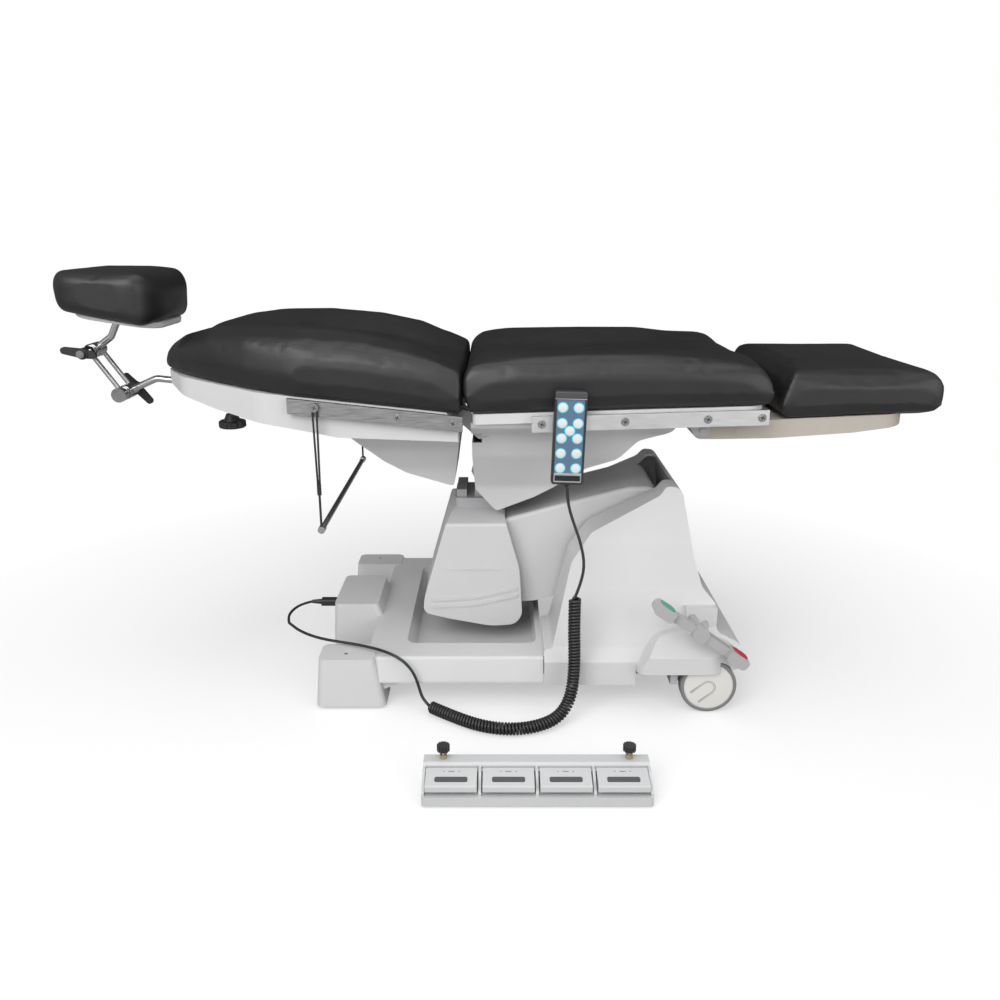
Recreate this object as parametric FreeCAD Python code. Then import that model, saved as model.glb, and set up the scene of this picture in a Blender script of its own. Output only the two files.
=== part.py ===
import FreeCAD
import Part
import math
import os

# Procedure chair with a parallel arm lift, in millimetres.
# +X points to the foot end, +Y to the far side, +Z up, the floor is Z 0 while it is drawn.
# At the end every piece moves so that the origin is the bottom centre of the whole chair.

V = FreeCAD.Vector

# Running clearances
PIN_GAP = 0.06
SOFT_GAP = 0.3
MOVE_GAP = 0.5

# Base
BASE_HALF = 338.0
BASE_LEFT = -413.0
COVER_SEAM = 98.0
COVER_WALL = 4.0
COVER_BOTTOM = 60.0
DECK_TOP = 118.0
DECK_LEFT = -298.0
DECK_HALF = BASE_HALF - 23.0
DECK_DRAFT = 13.0
FOOT_TOP = 120.0
FOOT_BOTTOM = 6.0
FOOT_LEN = 157.0
FOOT_DEPTH = 84.0
BOX_TOP = 150.0
BOX_HALF = 95.0
BOX_LEN = 107.0
TRAY_LEFT = -216.0
TRAY_RIGHT = 84.0
TRAY_HALF = 245.0
TRAY_FLOOR = 74.0
TRAY_DRAFT = 16.0
TUBE_W = 40.0
TUBE_H = 30.0
RAIL_TUBE_Y = BASE_HALF - 53.0

# Large wheels at the foot end
WHEEL_R = 62.5
WHEEL_W = 32.0
WHEEL_X = 462.0
WHEEL_Y = BASE_HALF - 2.0
TYRE_T = 8.0
AXLE_R = 6.0

# Small swivel casters under the head end feet
CASTER_R = 22.0
CASTER_W = 26.0
CASTER_X = -325.0
CASTER_Y = BASE_HALF - 46.0
CASTER_TRAIL = 14.0
CASTER_AXLE_R = 3.0
CASTER_STEM_R = 6.0

# Lift housing
HOUSING_RIGHT = 486.0
HOUSING_TOP = 469.0
HOUSING_WALL = 5.0
SLOT_HALF = 122.0
PLINTH_HALF = BASE_HALF - 5.0
SKIRT_BOTTOM = 97.0
SKIRT_HALF = BASE_HALF + 23.0

# Lift arms: a parallelogram between the base and the carriage
LIFT_X = 345.0
LIFT_Z = 425.0
ARM_DX = -392.0
ARM_DZ = -92.0
ARM_DROP = 120.0
ARM_T = 14.0
ARM_HALF = 70.0
ARM_PIN_R = 12.0
ARM_END_R = 22.0
ARM_COVER_HALF = 110.0
POST_R = 20.0

# Seat tilt pivot on the carriage
TILT_X = -28.0
TILT_Z = 470.0
TILT_PIN_R = 14.0
HEAD_HALF = 52.0

# Seat
SEAT_SLOPE = 0.0297
SEAT_HALF = 298.0
SEAT_LEFT = -78.0
SEAT_RIGHT = 573.0
SEAT_BASE = 661.5
PAN_T = 22.0
PAN_HALF = 284.0
PAN_LEFT = -58.0
PAN_RIGHT = 556.0

# Side rails
RAIL_H = 32.0
RAIL_T = 9.0
RAIL_Y = 292.0
RAIL_HEAD_R = 9.0
RAIL_HEAD_T = 4.0

# Back
BACK_X = -79.0
BACK_Z = 650.0
BACK_SLOPE = 0.107
BACK_LEFT = -768.0
FOLD_LEN = 120.0

# Leg rest
LEG_X = 435.0
LEG_Z = 618.0
LEG_NOSE_R = 20.0
LEG_HALF = 250.0
LEG_BOARD_HALF = 235.0
LEG_RIGHT = 946.0

# Headrest
LOW_X = -890.0
LOW_Z = 661.0
TOP_X = -956.0
TOP_Z = 759.0
BAR_R = 8.0
KNUCKLE_R = 17.0
KNUCKLE_PIN_R = 6.0
ROD_R = 5.5
ROD_Y = 31.0
HEADREST_X = -848.0
HEADREST_Z = 842.4
HEADREST_TILT = 8.9
HEADREST_W = 300.0
HEADREST_PLATE_T = 14.0
HEADREST_PLATE_HALF = 116.0

# Paper roll bar
ROLL_X = -383.0
ROLL_PIVOT_Z = 681.0
ROLL_Z = 415.0
ROLL_R = 6.0
ROLL_HALF = 292.0
LOOP_R = 2.2

# Handset
HANDSET_W = 67.0
HANDSET_H = 197.0
HANDSET_T = 24.0
HANDSET_X = 143.5
HANDSET_Z = 620.0
HANDSET_LEAN = 2.5
CORD_R = 3.3
COIL_R = 14.5

# Foot control
PAD_X = 70.0
PAD_W = 434.0
PAD_FRONT = -697.0
PAD_D = 92.0
PAD_BASE = 22.0
PAD_TOP = 58.0
PEDAL_N = 4
PEDAL_W = 97.0
PEDAL_PITCH = 108.0
PEDAL_L = 92.0
PEDAL_TRAVEL_DEG = 6.0

# Brake lever
BRAKE_X = 431.0
BRAKE_Z = 200.0
BRAKE_Y = BASE_HALF + 16.0
BRAKE_DEG = -34.3
BRAKE_ARM = 124.0
BRAKE_SHAFT_R = 8.0


def block(x0, x1, y0, y1, z0, z1):
    """A box between two corners."""
    return Part.makeBox(x1 - x0, y1 - y0, z1 - z0, V(x0, y0, z0))


def rod(start, end, radius):
    """A round bar between two points."""
    along = end - start
    return Part.makeCylinder(radius, along.Length, start, along)


def rod_y(x, z, radius, y0, y1):
    """A round bar along Y."""
    return Part.makeCylinder(radius, y1 - y0, V(x, y0, z), V(0, 1, 0))


def rod_z(x, y, radius, z0, z1):
    """A round bar along Z."""
    return Part.makeCylinder(radius, z1 - z0, V(x, y, z0), V(0, 0, 1))


def cone_z(x, y, r0, r1, z0, z1):
    """A tapered round bar along Z."""
    return Part.makeCone(r0, r1, z1 - z0, V(x, y, z0), V(0, 0, 1))


def corner_wire(points, place):
    """A closed wire through flat points; a third value rounds that corner."""
    ends = []
    arcs = []
    count = len(points)
    for i, point in enumerate(points):
        corner = V(point[0], point[1], 0)
        before = V(points[i - 1][0], points[i - 1][1], 0)
        after = V(points[(i + 1) % count][0], points[(i + 1) % count][1], 0)
        radius = point[2] if len(point) > 2 else 0
        if not radius:
            ends.append((corner, corner))
            arcs.append(None)
            continue
        back = (before - corner).normalize()
        ahead = (after - corner).normalize()
        half = back.getAngle(ahead) / 2
        run = radius / math.tan(half)
        middle = corner + (back + ahead).normalize() * (radius / math.sin(half) - radius)
        ends.append((corner + back * run, corner + ahead * run))
        arcs.append(middle)
    edges = []
    for i in range(count):
        start, end = ends[i]
        if arcs[i] is not None:
            edges.append(Part.Arc(place(start), place(arcs[i]), place(end)).toShape())
        following = ends[(i + 1) % count][0]
        if (following - end).Length > 1e-6:
            edges.append(Part.LineSegment(place(end), place(following)).toShape())
    return Part.Wire(edges)


def side_wire(points, y):
    """A wire in the XZ plane at one Y."""
    return corner_wire(points, lambda p: V(p.x, y, p.y))


def plan_wire(points, z):
    """A wire in the XY plane at one Z."""
    return corner_wire(points, lambda p: V(p.x, p.y, z))


def front_wire(points, x):
    """A wire in the YZ plane at one X."""
    return corner_wire(points, lambda p: V(x, p.x, p.y))


def side_plate(points, y0, y1):
    """An XZ outline with its thickness along Y."""
    return Part.Face(side_wire(points, y0)).extrude(V(0, y1 - y0, 0))


def plan_plate(points, z0, z1):
    """An XY outline with its thickness along Z."""
    return Part.Face(plan_wire(points, z0)).extrude(V(0, 0, z1 - z0))


def front_plate(points, x0, x1):
    """A YZ outline with its length along X."""
    return Part.Face(front_wire(points, x0)).extrude(V(x1 - x0, 0, 0))


def loft(wires):
    """A solid through wires of like outline."""
    return Part.makeLoft(wires, True, True)


def rect(a0, a1, b0, b1, radius):
    """Corner points of a rounded rectangle."""
    return [(a0, b0, radius), (a1, b0, radius), (a1, b1, radius), (a0, b1, radius)]


def mirrored(shape):
    """The same shape on the other side of the chair."""
    return shape.mirror(V(0, 0, 0), V(0, 1, 0))


def both_sides(shape):
    """A shape and its mirror image as one group."""
    return [shape, mirrored(shape)]


def joined(shapes):
    """Shapes fused to one solid with clean faces."""
    body = shapes[0].fuse(shapes[1:]) if len(shapes) > 1 else shapes[0]
    return body.removeSplitter()


def turned(shape, x, z, degrees):
    """A shape turned about a Y axis through X, Z; positive lowers the foot end."""
    moved = shape.copy()
    moved.rotate(V(x, 0, z), V(0, 1, 0), degrees)
    return moved


def foot_shell(inset, bottom):
    """One head end foot, tapered upwards, drawn inwards by an inset."""
    low = rect(BASE_LEFT + inset, BASE_LEFT + FOOT_LEN - inset,
               -BASE_HALF + inset, -BASE_HALF + FOOT_DEPTH + 14 - inset, 16)
    high = rect(BASE_LEFT + 9 + inset, BASE_LEFT + FOOT_LEN - 24 - inset,
                -BASE_HALF + 3 + inset, -BASE_HALF + FOOT_DEPTH - inset, 16)
    return loft([plan_wire(low, bottom), plan_wire(high, FOOT_TOP - inset)])


def power_box(inset, bottom):
    """The middle box at the head end, tapered upwards."""
    low = rect(BASE_LEFT + inset, BASE_LEFT + BOX_LEN + 42 - inset,
               -BOX_HALF - 4 + inset, BOX_HALF + 4 - inset, 18)
    high = rect(BASE_LEFT + 6 + inset, BASE_LEFT + BOX_LEN + 6 - inset,
                -BOX_HALF + inset, BOX_HALF - inset, 14)
    return loft([plan_wire(low, bottom), plan_wire(high, BOX_TOP - inset)])


def deck(inset, bottom):
    """The long deck between the feet and the lift housing."""
    left = DECK_LEFT + inset
    right = COVER_SEAM - 1
    low_half = DECK_HALF + DECK_DRAFT - inset
    section = [(-low_half, bottom), (-low_half, bottom + 4), (-DECK_HALF + inset, DECK_TOP - inset, 8),
               (DECK_HALF - inset, DECK_TOP - inset, 8), (low_half, bottom + 4), (low_half, bottom)]
    return front_plate(section, left, right)


def tray_pocket(grow):
    """The open recess that the carriage cover sinks towards."""
    low = rect(TRAY_LEFT + TRAY_DRAFT - grow, TRAY_RIGHT - 8 + grow,
               -TRAY_HALF + TRAY_DRAFT - grow, TRAY_HALF - TRAY_DRAFT + grow, 26)
    high = rect(TRAY_LEFT - grow, TRAY_RIGHT + grow, -TRAY_HALF - grow, TRAY_HALF + grow, 26)
    top = BOX_TOP + 40
    return joined([loft([plan_wire(low, TRAY_FLOOR - grow), plan_wire(high, DECK_TOP)]),
                   plan_plate(high, DECK_TOP, top)])


def foot_ramp(inset):
    """The sloped shoulder from a foot to the deck."""
    outline = [(BASE_LEFT + 90, DECK_TOP - inset), (BASE_LEFT + FOOT_LEN - 20, DECK_TOP - inset),
               (-206, COVER_BOTTOM + 4 + inset), (-206, COVER_BOTTOM),
               (BASE_LEFT + FOOT_LEN - 10, FOOT_BOTTOM + 30), (BASE_LEFT + 90, FOOT_BOTTOM + 30)]
    return side_plate(outline, -BASE_HALF + 24 + inset, -TRAY_HALF - 20)


def base_cover():
    """One white moulding: two feet, the power box, the deck and the open tray."""
    bottom = COVER_BOTTOM
    foot = foot_shell(0, FOOT_BOTTOM)
    ramp = foot_ramp(0)
    outer = joined([deck(0, bottom), foot, mirrored(foot), ramp, mirrored(ramp),
                    power_box(0, bottom - 20)])
    hollow_foot = foot_shell(COVER_WALL, FOOT_BOTTOM - 4)
    hollow_ramp = foot_ramp(COVER_WALL)
    hollow = joined([deck(COVER_WALL, bottom - 4), hollow_foot, mirrored(hollow_foot), hollow_ramp,
                     mirrored(hollow_ramp), power_box(COVER_WALL, bottom - 24)])
    cover = outer.cut(tray_pocket(0)).cut(hollow.cut(tray_pocket(COVER_WALL)))
    inlet_hole = block(BASE_LEFT - 10, BASE_LEFT + 20, -INLET_HALF_Y, INLET_HALF_Y,
                       INLET_Z - INLET_HALF_Z, INLET_Z + INLET_HALF_Z)
    screw = rod_z(-346, -304, 3.0, FOOT_TOP - 12, FOOT_TOP + 2)
    cover = cover.cut([inlet_hole, screw, mirrored(screw)])
    return joined([cover])


INLET_Z = 116.0
INLET_HALF_Y = 15.0
INLET_HALF_Z = 11.0
INLET_DEPTH = 24.0


def cord_inlet():
    """The socket in the left face of the power box."""
    gap = 0.0
    body = block(BASE_LEFT - 2, BASE_LEFT + INLET_DEPTH, -INLET_HALF_Y + gap, INLET_HALF_Y - gap,
                 INLET_Z - INLET_HALF_Z + gap, INLET_Z + INLET_HALF_Z - gap)
    mouth = block(BASE_LEFT - 3, BASE_LEFT + INLET_DEPTH - 6, -PLUG_HALF_Y - PIN_GAP, PLUG_HALF_Y + PIN_GAP,
                  INLET_Z - PLUG_HALF_Z - PIN_GAP, INLET_Z + PLUG_HALF_Z + PIN_GAP)
    return body.cut(mouth)


PLUG_HALF_Y = 9.0
PLUG_HALF_Z = 6.0
PLUG_BODY = 52.0


def handset_plug():
    """The plug of the handset lead: a nose in the socket, a grip and a strain relief."""
    nose = block(BASE_LEFT - 4, BASE_LEFT + INLET_DEPTH - 10, -PLUG_HALF_Y, PLUG_HALF_Y,
                 INLET_Z - PLUG_HALF_Z, INLET_Z + PLUG_HALF_Z)
    grip = front_plate(rect(-12, 12, INLET_Z - 9, INLET_Z + 9, 5),
                       BASE_LEFT - 4 - PLUG_BODY + 12, BASE_LEFT - 4)
    relief = Part.makeCone(CORD_R + 1.2, 7.0, 26, V(BASE_LEFT - 4 - PLUG_BODY - 13, 0, INLET_Z), V(1, 0, 0))
    return joined([nose, grip, relief])


def base_frame():
    """Welded steel frame: side tubes, cross tubes, lift posts and wheel brackets."""
    z0 = COVER_BOTTOM + 8
    z1 = z0 + TUBE_H
    left = CASTER_X - TUBE_W / 2
    side = block(left, WHEEL_X - 60, -RAIL_TUBE_Y - TUBE_W / 2 + 6, -RAIL_TUBE_Y + TUBE_W / 2 - 6, z0, z1)
    head_tube = block(DECK_LEFT + 8, DECK_LEFT + 8 + TUBE_W, -RAIL_TUBE_Y, RAIL_TUBE_Y, z0, z1)
    foot_tube = block(WHEEL_X - 100, WHEEL_X - 60, -RAIL_TUBE_Y, RAIL_TUBE_Y, z0, z1)
    lift_tube = block(LIFT_X - 110, LIFT_X - 60, -RAIL_TUBE_Y, RAIL_TUBE_Y, z0, z1)
    caster_plate = rod_z(CASTER_X, -CASTER_Y, 20, z0 - 8, z0)
    stem_hole = rod_z(CASTER_X, -CASTER_Y, CASTER_STEM_R + PIN_GAP, z0 - 10, z1 - 6)
    post = side_plate([(LIFT_X - 110, z1 - 2), (LIFT_X + 57, z1 - 2), (LIFT_X + 57, z1 + 20),
                       (LIFT_X + POST_R, LIFT_Z + POST_R, POST_R - 0.1),
                       (LIFT_X - POST_R, LIFT_Z + POST_R, POST_R - 0.1),
                       (LIFT_X - POST_R - 14, LIFT_Z - ARM_DROP - 40)],
                      -ARM_HALF - 16, -ARM_HALF - 6)
    pin = rod_y(LIFT_X, LIFT_Z, ARM_PIN_R, -ARM_HALF - 14, ARM_HALF + 14)
    low_pin = rod_y(LIFT_X, LIFT_Z - ARM_DROP, ARM_PIN_R, -ARM_HALF - 14, ARM_HALF + 14)
    bracket = side_plate([(WHEEL_X - 84, z0 + 4), (WHEEL_X - 60, z1), (WHEEL_X - 20, z1 - 4, 10),
                          (WHEEL_X + 14, WHEEL_R + 10, 8), (WHEEL_X + 14, WHEEL_R - 14, 10),
                          (WHEEL_X - 16, WHEEL_R - 14, 10), (WHEEL_X - 70, z0 - 6)],
                         -WHEEL_Y + WHEEL_W / 2 + 4, -WHEEL_Y + WHEEL_W / 2 + 12)
    web = block(WHEEL_X - 84, WHEEL_X - 68, -WHEEL_Y - 6, -RAIL_TUBE_Y, z0 - 4, z1 - 6)
    axle = rod_y(WHEEL_X, WHEEL_R, AXLE_R, -WHEEL_Y - WHEEL_W / 2 + 6, -WHEEL_Y + WHEEL_W / 2 + 8)
    parts = [side, mirrored(side), head_tube, foot_tube, lift_tube, post, mirrored(post), pin, low_pin]
    parts += both_sides(bracket) + both_sides(web) + both_sides(axle) + both_sides(caster_plate)
    frame = joined(parts)
    brake_gap = rod_y(BRAKE_X, BRAKE_Z, BRAKE_SHAFT_R + 0.05, -BASE_HALF, BASE_HALF)
    return frame.cut([stem_hole, mirrored(stem_hole), brake_gap])


def large_wheel():
    """Hub of a large wheel: a moulded disc with a dished outer cover."""
    y_out = -WHEEL_Y - WHEEL_W / 2
    y_in = -WHEEL_Y + WHEEL_W / 2
    rim = WHEEL_R - TYRE_T
    outline = [(AXLE_R + 0.05, y_in), (14, y_in), (14, y_in - 8), (rim - 8, y_in - 8), (rim - 6, y_in - 2),
               (rim, y_in - 2), (rim, y_out + 3), (rim - 3, y_out + 1), (18, y_out), (0, y_out),
               (0, y_out + 4), (AXLE_R + 0.05, y_out + 4)]
    face = Part.Face(corner_wire(outline, lambda p: V(WHEEL_X + p.x, p.y, WHEEL_R)))
    return face.revolve(V(WHEEL_X, 0, WHEEL_R), V(0, 1, 0), 360)


def large_tyre():
    """Grey tread ring with rounded shoulders on the wheel hub."""
    y_out = -WHEEL_Y - WHEEL_W / 2
    y_in = -WHEEL_Y + WHEEL_W / 2
    rim = WHEEL_R - TYRE_T
    outline = [(rim, y_in - 2), (rim, y_out + 3), (rim + 1, y_out + 1.5), (WHEEL_R, y_out + 2, 4),
               (WHEEL_R, y_in - 2, 4), (rim + 1, y_in - 1)]
    face = Part.Face(corner_wire(outline, lambda p: V(WHEEL_X + p.x, p.y, WHEEL_R)))
    return face.revolve(V(WHEEL_X, 0, WHEEL_R), V(0, 1, 0), 360)


def caster_fork():
    """Swivel fork of a small caster: stem, head plate and two cheeks."""
    x = CASTER_X + CASTER_TRAIL
    plate_z = COVER_BOTTOM + 8 - 8 - MOVE_GAP
    stem = rod_z(CASTER_X, -CASTER_Y, CASTER_STEM_R, plate_z - 2, COVER_BOTTOM + 8 + 20)
    head = rod_z(CASTER_X, -CASTER_Y, 17, plate_z - 4, plate_z)
    inner = CASTER_W / 2 + 1
    cheek = side_plate([(CASTER_X - 12, plate_z - 1), (CASTER_X + 15, plate_z - 1), (x + 8, CASTER_R - 7, 7),
                        (x - 8, CASTER_R - 7, 7)], -CASTER_Y - inner - 3, -CASTER_Y - inner)
    other = cheek.copy()
    other.translate(V(0, 2 * inner + 3, 0))
    roof = block(CASTER_X - 11, CASTER_X + 13, -CASTER_Y - inner - 2, -CASTER_Y + inner + 2, plate_z - 4, plate_z)
    axle = rod_y(x, CASTER_R, CASTER_AXLE_R, -CASTER_Y - inner - 3, -CASTER_Y + inner + 3)
    return joined([stem, head, roof, cheek, other, axle])


def caster_wheel():
    """Small grey wheel on the swivel fork."""
    x = CASTER_X + CASTER_TRAIL
    half = CASTER_W / 2
    wheel = rod_y(x, CASTER_R, CASTER_R, -CASTER_Y - half, -CASTER_Y + half)
    wheel = wheel.makeFillet(3, [wheel.Edges[0], wheel.Edges[2]])
    return wheel.cut(rod_y(x, CASTER_R, CASTER_AXLE_R + 0.05, -CASTER_Y - half - 1, -CASTER_Y + half + 1))


def housing_side(inset):
    """Side outline of the lift housing."""
    return [(COVER_SEAM + 0.5, COVER_BOTTOM - 2), (COVER_SEAM + 0.5, 132 - inset, 6),
            (117, 132 - inset, 10), (161, 315 - inset, 60), (206, 378 - inset, 40),
            (362, 456 - inset, 30), (378, HOUSING_TOP + 7 - inset, 14), (412 - inset, HOUSING_TOP + 4 - inset, 24),
            (436 - inset, 330, 80), (455 - inset, 262, 30), (HOUSING_RIGHT - inset, 226, 20),
            (HOUSING_RIGHT - inset, 168, 20), (546 - inset, 140, 30), (546 - inset, SKIRT_BOTTOM + 2),
            (400, SKIRT_BOTTOM - 2), (302, SKIRT_BOTTOM - 2), (302, COVER_BOTTOM - 2)]


def housing_front(inset):
    """Front outline of the lift housing: plinth, ledge and leaning walls."""
    half = [(PLINTH_HALF - inset, COVER_BOTTOM - 2), (PLINTH_HALF - inset - 4, 112 - inset, 5),
            (302 - inset, 134 - inset, 10), (255 - inset, 262, 60), (228 - inset, 352, 60),
            (176 - inset, HOUSING_TOP + 20 - inset)]
    return half + [(-p[0],) + p[1:] for p in reversed(half)]


def skirt_flare(inset):
    """The flared arch over one large wheel."""
    plan = [(302 + inset, -240), (302 + inset, -SKIRT_HALF + inset, 20), (470, -SKIRT_HALF + inset, 60),
            (548 - inset, -322 + inset, 30), (548 - inset, -240)]
    low = plan_plate(plan, SKIRT_BOTTOM - (1 if inset else 0), 190)
    arch = side_plate([(300, SKIRT_BOTTOM - 2), (304, 108, 10), (350, 168 - inset, 40), (420, 182 - inset, 60),
                       (510, 150 - inset, 30), (549, 118 - inset, 20), (549, SKIRT_BOTTOM - 2)],
                      -SKIRT_HALF - 1, -230)
    lean = front_plate([(-SKIRT_HALF - 2 + inset, SKIRT_BOTTOM - 3), (-230, SKIRT_BOTTOM - 3), (-230, 190),
                        (-286 + inset, 190), (-SKIRT_HALF + inset, 136 - inset)], 296, 552)
    return low.common(arch).common(lean)


def shaft_block(inset):
    """The raised block that the brake shaft comes out of."""
    return block(415 + inset, HOUSING_RIGHT - inset, -286 + inset, -200, 150, 224 - inset)


def lift_housing():
    """White housing over the lift: leaning walls, plinth, wheel arches and an open arm slot."""
    def shell(inset):
        body = side_plate(housing_side(inset), -420, 420).common(
            front_plate(housing_front(inset), 0, 600))
        flare = skirt_flare(inset)
        boss = shaft_block(inset)
        return joined([body, flare, mirrored(flare), boss, mirrored(boss)])
    outer = shell(0)
    inner = shell(HOUSING_WALL)
    wheel_room = block(302 + HOUSING_WALL, 541, -PLINTH_HALF + 4, PLINTH_HALF - 4, 40, SKIRT_BOTTOM + 4)
    left_mouth = block(COVER_SEAM - 20, 200, -SLOT_HALF, SLOT_HALF, COVER_BOTTOM + 30, 420)
    low_mouth = block(COVER_SEAM - 20, 302 - HOUSING_WALL, -PLINTH_HALF + 14, PLINTH_HALF - 14,
                      COVER_BOTTOM - 4, COVER_BOTTOM + 50)
    slot = side_plate([(120, 200), (120, 600), (412, 600), (398, 440), (398, 400, 20)], -SLOT_HALF, SLOT_HALF)
    shaft_hole = rod_y(BRAKE_X, BRAKE_Z, BRAKE_SHAFT_R + MOVE_GAP, -400, 400)
    arches = both_sides(rod_y(WHEEL_X, WHEEL_R, WHEEL_R + 2, -SKIRT_HALF + 7, -WHEEL_Y + WHEEL_W / 2 + 3))
    tube_top = COVER_BOTTOM + 8 + TUBE_H
    ledge = block(200, 240, -PLINTH_HALF + 3, -RAIL_TUBE_Y - 5, tube_top, tube_top + 5)
    shell = outer.cut([inner, wheel_room, left_mouth, low_mouth, slot, shaft_hole] + arches)
    return joined([shell, ledge, mirrored(ledge)])


def lift_arm(z_shift, inner, outer):
    """Two flat bars joined by a cross tube, bored at both pivots."""
    base = V(LIFT_X, 0, LIFT_Z + z_shift)
    tip = base + V(ARM_DX, 0, ARM_DZ)
    along = (tip - base).normalize()
    across = V(-along.z, 0, along.x) * (ARM_END_R - 6)
    corners = [base + across, tip + across, tip - across, base - across]
    bar = side_plate([(c.x, c.z) for c in corners], inner, outer)
    eyes = [rod_y(p.x, p.z, ARM_END_R, inner, outer) for p in (base, tip)]
    bar = joined([bar] + eyes)
    middle = (base + tip) * 0.5
    tube = rod_y(middle.x, middle.z, 14, -inner - 1, inner + 1)
    arm = joined([bar, mirrored(bar), tube])
    bores = [rod_y(p.x, p.z, ARM_PIN_R + PIN_GAP, -outer - 1, outer + 1) for p in (base, tip)]
    return arm.cut(bores)


def upper_arm():
    """The outer pair of lift bars."""
    return lift_arm(0, ARM_HALF - ARM_T, ARM_HALF)


def lower_arm():
    """The inner pair of lift bars, which keeps the carriage level."""
    return lift_arm(-ARM_DROP, ARM_HALF - 2 * ARM_T - 4, ARM_HALF - ARM_T - 4)


def arm_cover_shape(inset):
    """The arm cover's side outline and width, drawn inwards by an inset."""
    outline = [(-40 + inset, 208), (-40 + inset, 352 - inset, 20), (16, 376 - inset, 60),
               (142, 411 - inset, 200), (302, 453 - inset, 40), (374 - inset, 453 - inset, 26),
               (374 - inset, 330), (330, 296, 30), (146, 182, 40), (86, 167, 20), (40, 163, 30)]
    return side_plate(outline, -ARM_COVER_HALF + inset, ARM_COVER_HALF - inset)


def arm_cover():
    """White cover over the lift arms, open below and at its base end."""
    shell = arm_cover_shape(0)
    shell = shell.makeFillet(9, [e for e in shell.Edges if cover_top_edge(e)])
    room = arm_cover_shape(COVER_WALL)
    belly = side_plate([(-60, 120), (-36, 230), (6, 236), (120, 236), (300, 330), (380, 340),
                        (380, 120)], -ARM_COVER_HALF + COVER_WALL, ARM_COVER_HALF - COVER_WALL)
    end = block(340, 380, -ARM_COVER_HALF + COVER_WALL, ARM_COVER_HALF - COVER_WALL, 250, 436)
    tip_room = block(-60, -10, -ARM_HALF - 8, ARM_HALF + 8, 100, 400)
    post_room = rod_y(LIFT_X, LIFT_Z, POST_R + MOVE_GAP, -ARM_COVER_HALF + COVER_WALL, ARM_COVER_HALF - COVER_WALL)
    cover = shell.cut([room, belly, end, tip_room, post_room])
    boss = joined([rod_y(0, 0, 9, -ARM_COVER_HALF + COVER_WALL - 1, -ARM_HALF)])
    bosses = []
    for share in (0.25, 0.62):
        seat = boss.copy()
        seat.translate(V(LIFT_X + ARM_DX * share, 0, LIFT_Z + ARM_DZ * share))
        bosses += both_sides(seat)
    return joined([cover] + bosses)


def cover_top_edge(edge):
    """True for the long upper edges of the arm cover."""
    b = edge.BoundBox
    on_side = abs(abs(b.YMin) - ARM_COVER_HALF) < 1e-3 and b.YLength < 1e-3
    return on_side and b.ZMin > 350


def lift_actuator():
    """Electric lift spindle: motor, gear head and tube lying between the base posts."""
    foot = V(LIFT_X - 88, 0, COVER_BOTTOM + 8 + TUBE_H + 22)
    tip = V(70, 0, 232)
    along = (tip - foot).normalize()
    tube = rod(foot, tip - along * 60, 17)
    spindle = rod(tip - along * 62, tip, 11)
    motor = rod(foot + V(20, 0, 20), foot + V(20, 0, 20) + along * 120, 21)
    ear = side_plate([(foot.x - 14, foot.z - 22), (foot.x + 26, foot.z - 22), (foot.x + 26, foot.z + 10, 8),
                      (foot.x - 14, foot.z + 10, 8)], -20, 20)
    return joined([tube, spindle, motor, ear])


def carriage():
    """Cast carriage: pivot column, neck, head block and the tilt pin with its upright."""
    top_x = LIFT_X + ARM_DX
    top_z = LIFT_Z + ARM_DZ
    inner = ARM_HALF - 2 * ARM_T - 5
    column = side_plate([(top_x - 30, top_z - ARM_DROP - 24, 20), (top_x + 24, top_z - ARM_DROP - 24, 20),
                         (top_x + 30, top_z + 38), (top_x - 36, top_z + 38)], -inner, inner)
    pins = [rod_y(top_x, z, ARM_PIN_R, -half, half)
            for z, half in ((top_z, ARM_HALF + 3), (top_z - ARM_DROP, ARM_HALF - ARM_T - 3))]
    neck = rod_z(-64, 0, 35, top_z + 34, HEAD_BOTTOM + 1)
    head = plan_plate(rect(-108, 12, -70, 70, 14), HEAD_BOTTOM, HEAD_TOP)
    upright = side_plate([(TILT_X - 34, HEAD_TOP - 1), (TILT_X + 34, HEAD_TOP - 1), (TILT_X + 26, TILT_Z + 24, 22),
                          (TILT_X - 26, TILT_Z + 24, 22)], -HEAD_HALF, HEAD_HALF)
    pin = rod_y(TILT_X, TILT_Z, TILT_PIN_R, -HEAD_HALF - 22, HEAD_HALF + 22)
    bumper = block(-104, -80, -56, 56, HEAD_TOP - 1, HEAD_TOP + 17)
    return joined([column, neck, head, upright, pin, bumper] + pins)


HEAD_BOTTOM = 392.0
HEAD_TOP = 415.0
SHROUD_HALF = 150.0
SHROUD_TOP = 392.0


def shroud_side(inset):
    """Side outline of the column shroud."""
    return [(-184 + inset, 152, 20), (-180 + inset, 190, 60), (-128 + inset, SHROUD_TOP - 22, 16),
            (-112, SHROUD_TOP - inset, 10), (6, SHROUD_TOP - inset, 10), (14 - inset, SHROUD_TOP - 16, 10),
            (46 - inset, 262, 120), (53 - inset, 150, 30), (40, 122, 30), (-20, 117, 120), (-120, 136, 80)]


def shroud_front(inset):
    """Front outline of the column shroud: upright walls with a shoulder at the top."""
    top = SHROUD_TOP - inset
    half = [(SHROUD_HALF - inset, 100), (SHROUD_HALF - inset, top - 17, 8), (72, top, 12)]
    return half + [(-p[0],) + p[1:] for p in reversed(half)]


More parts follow.
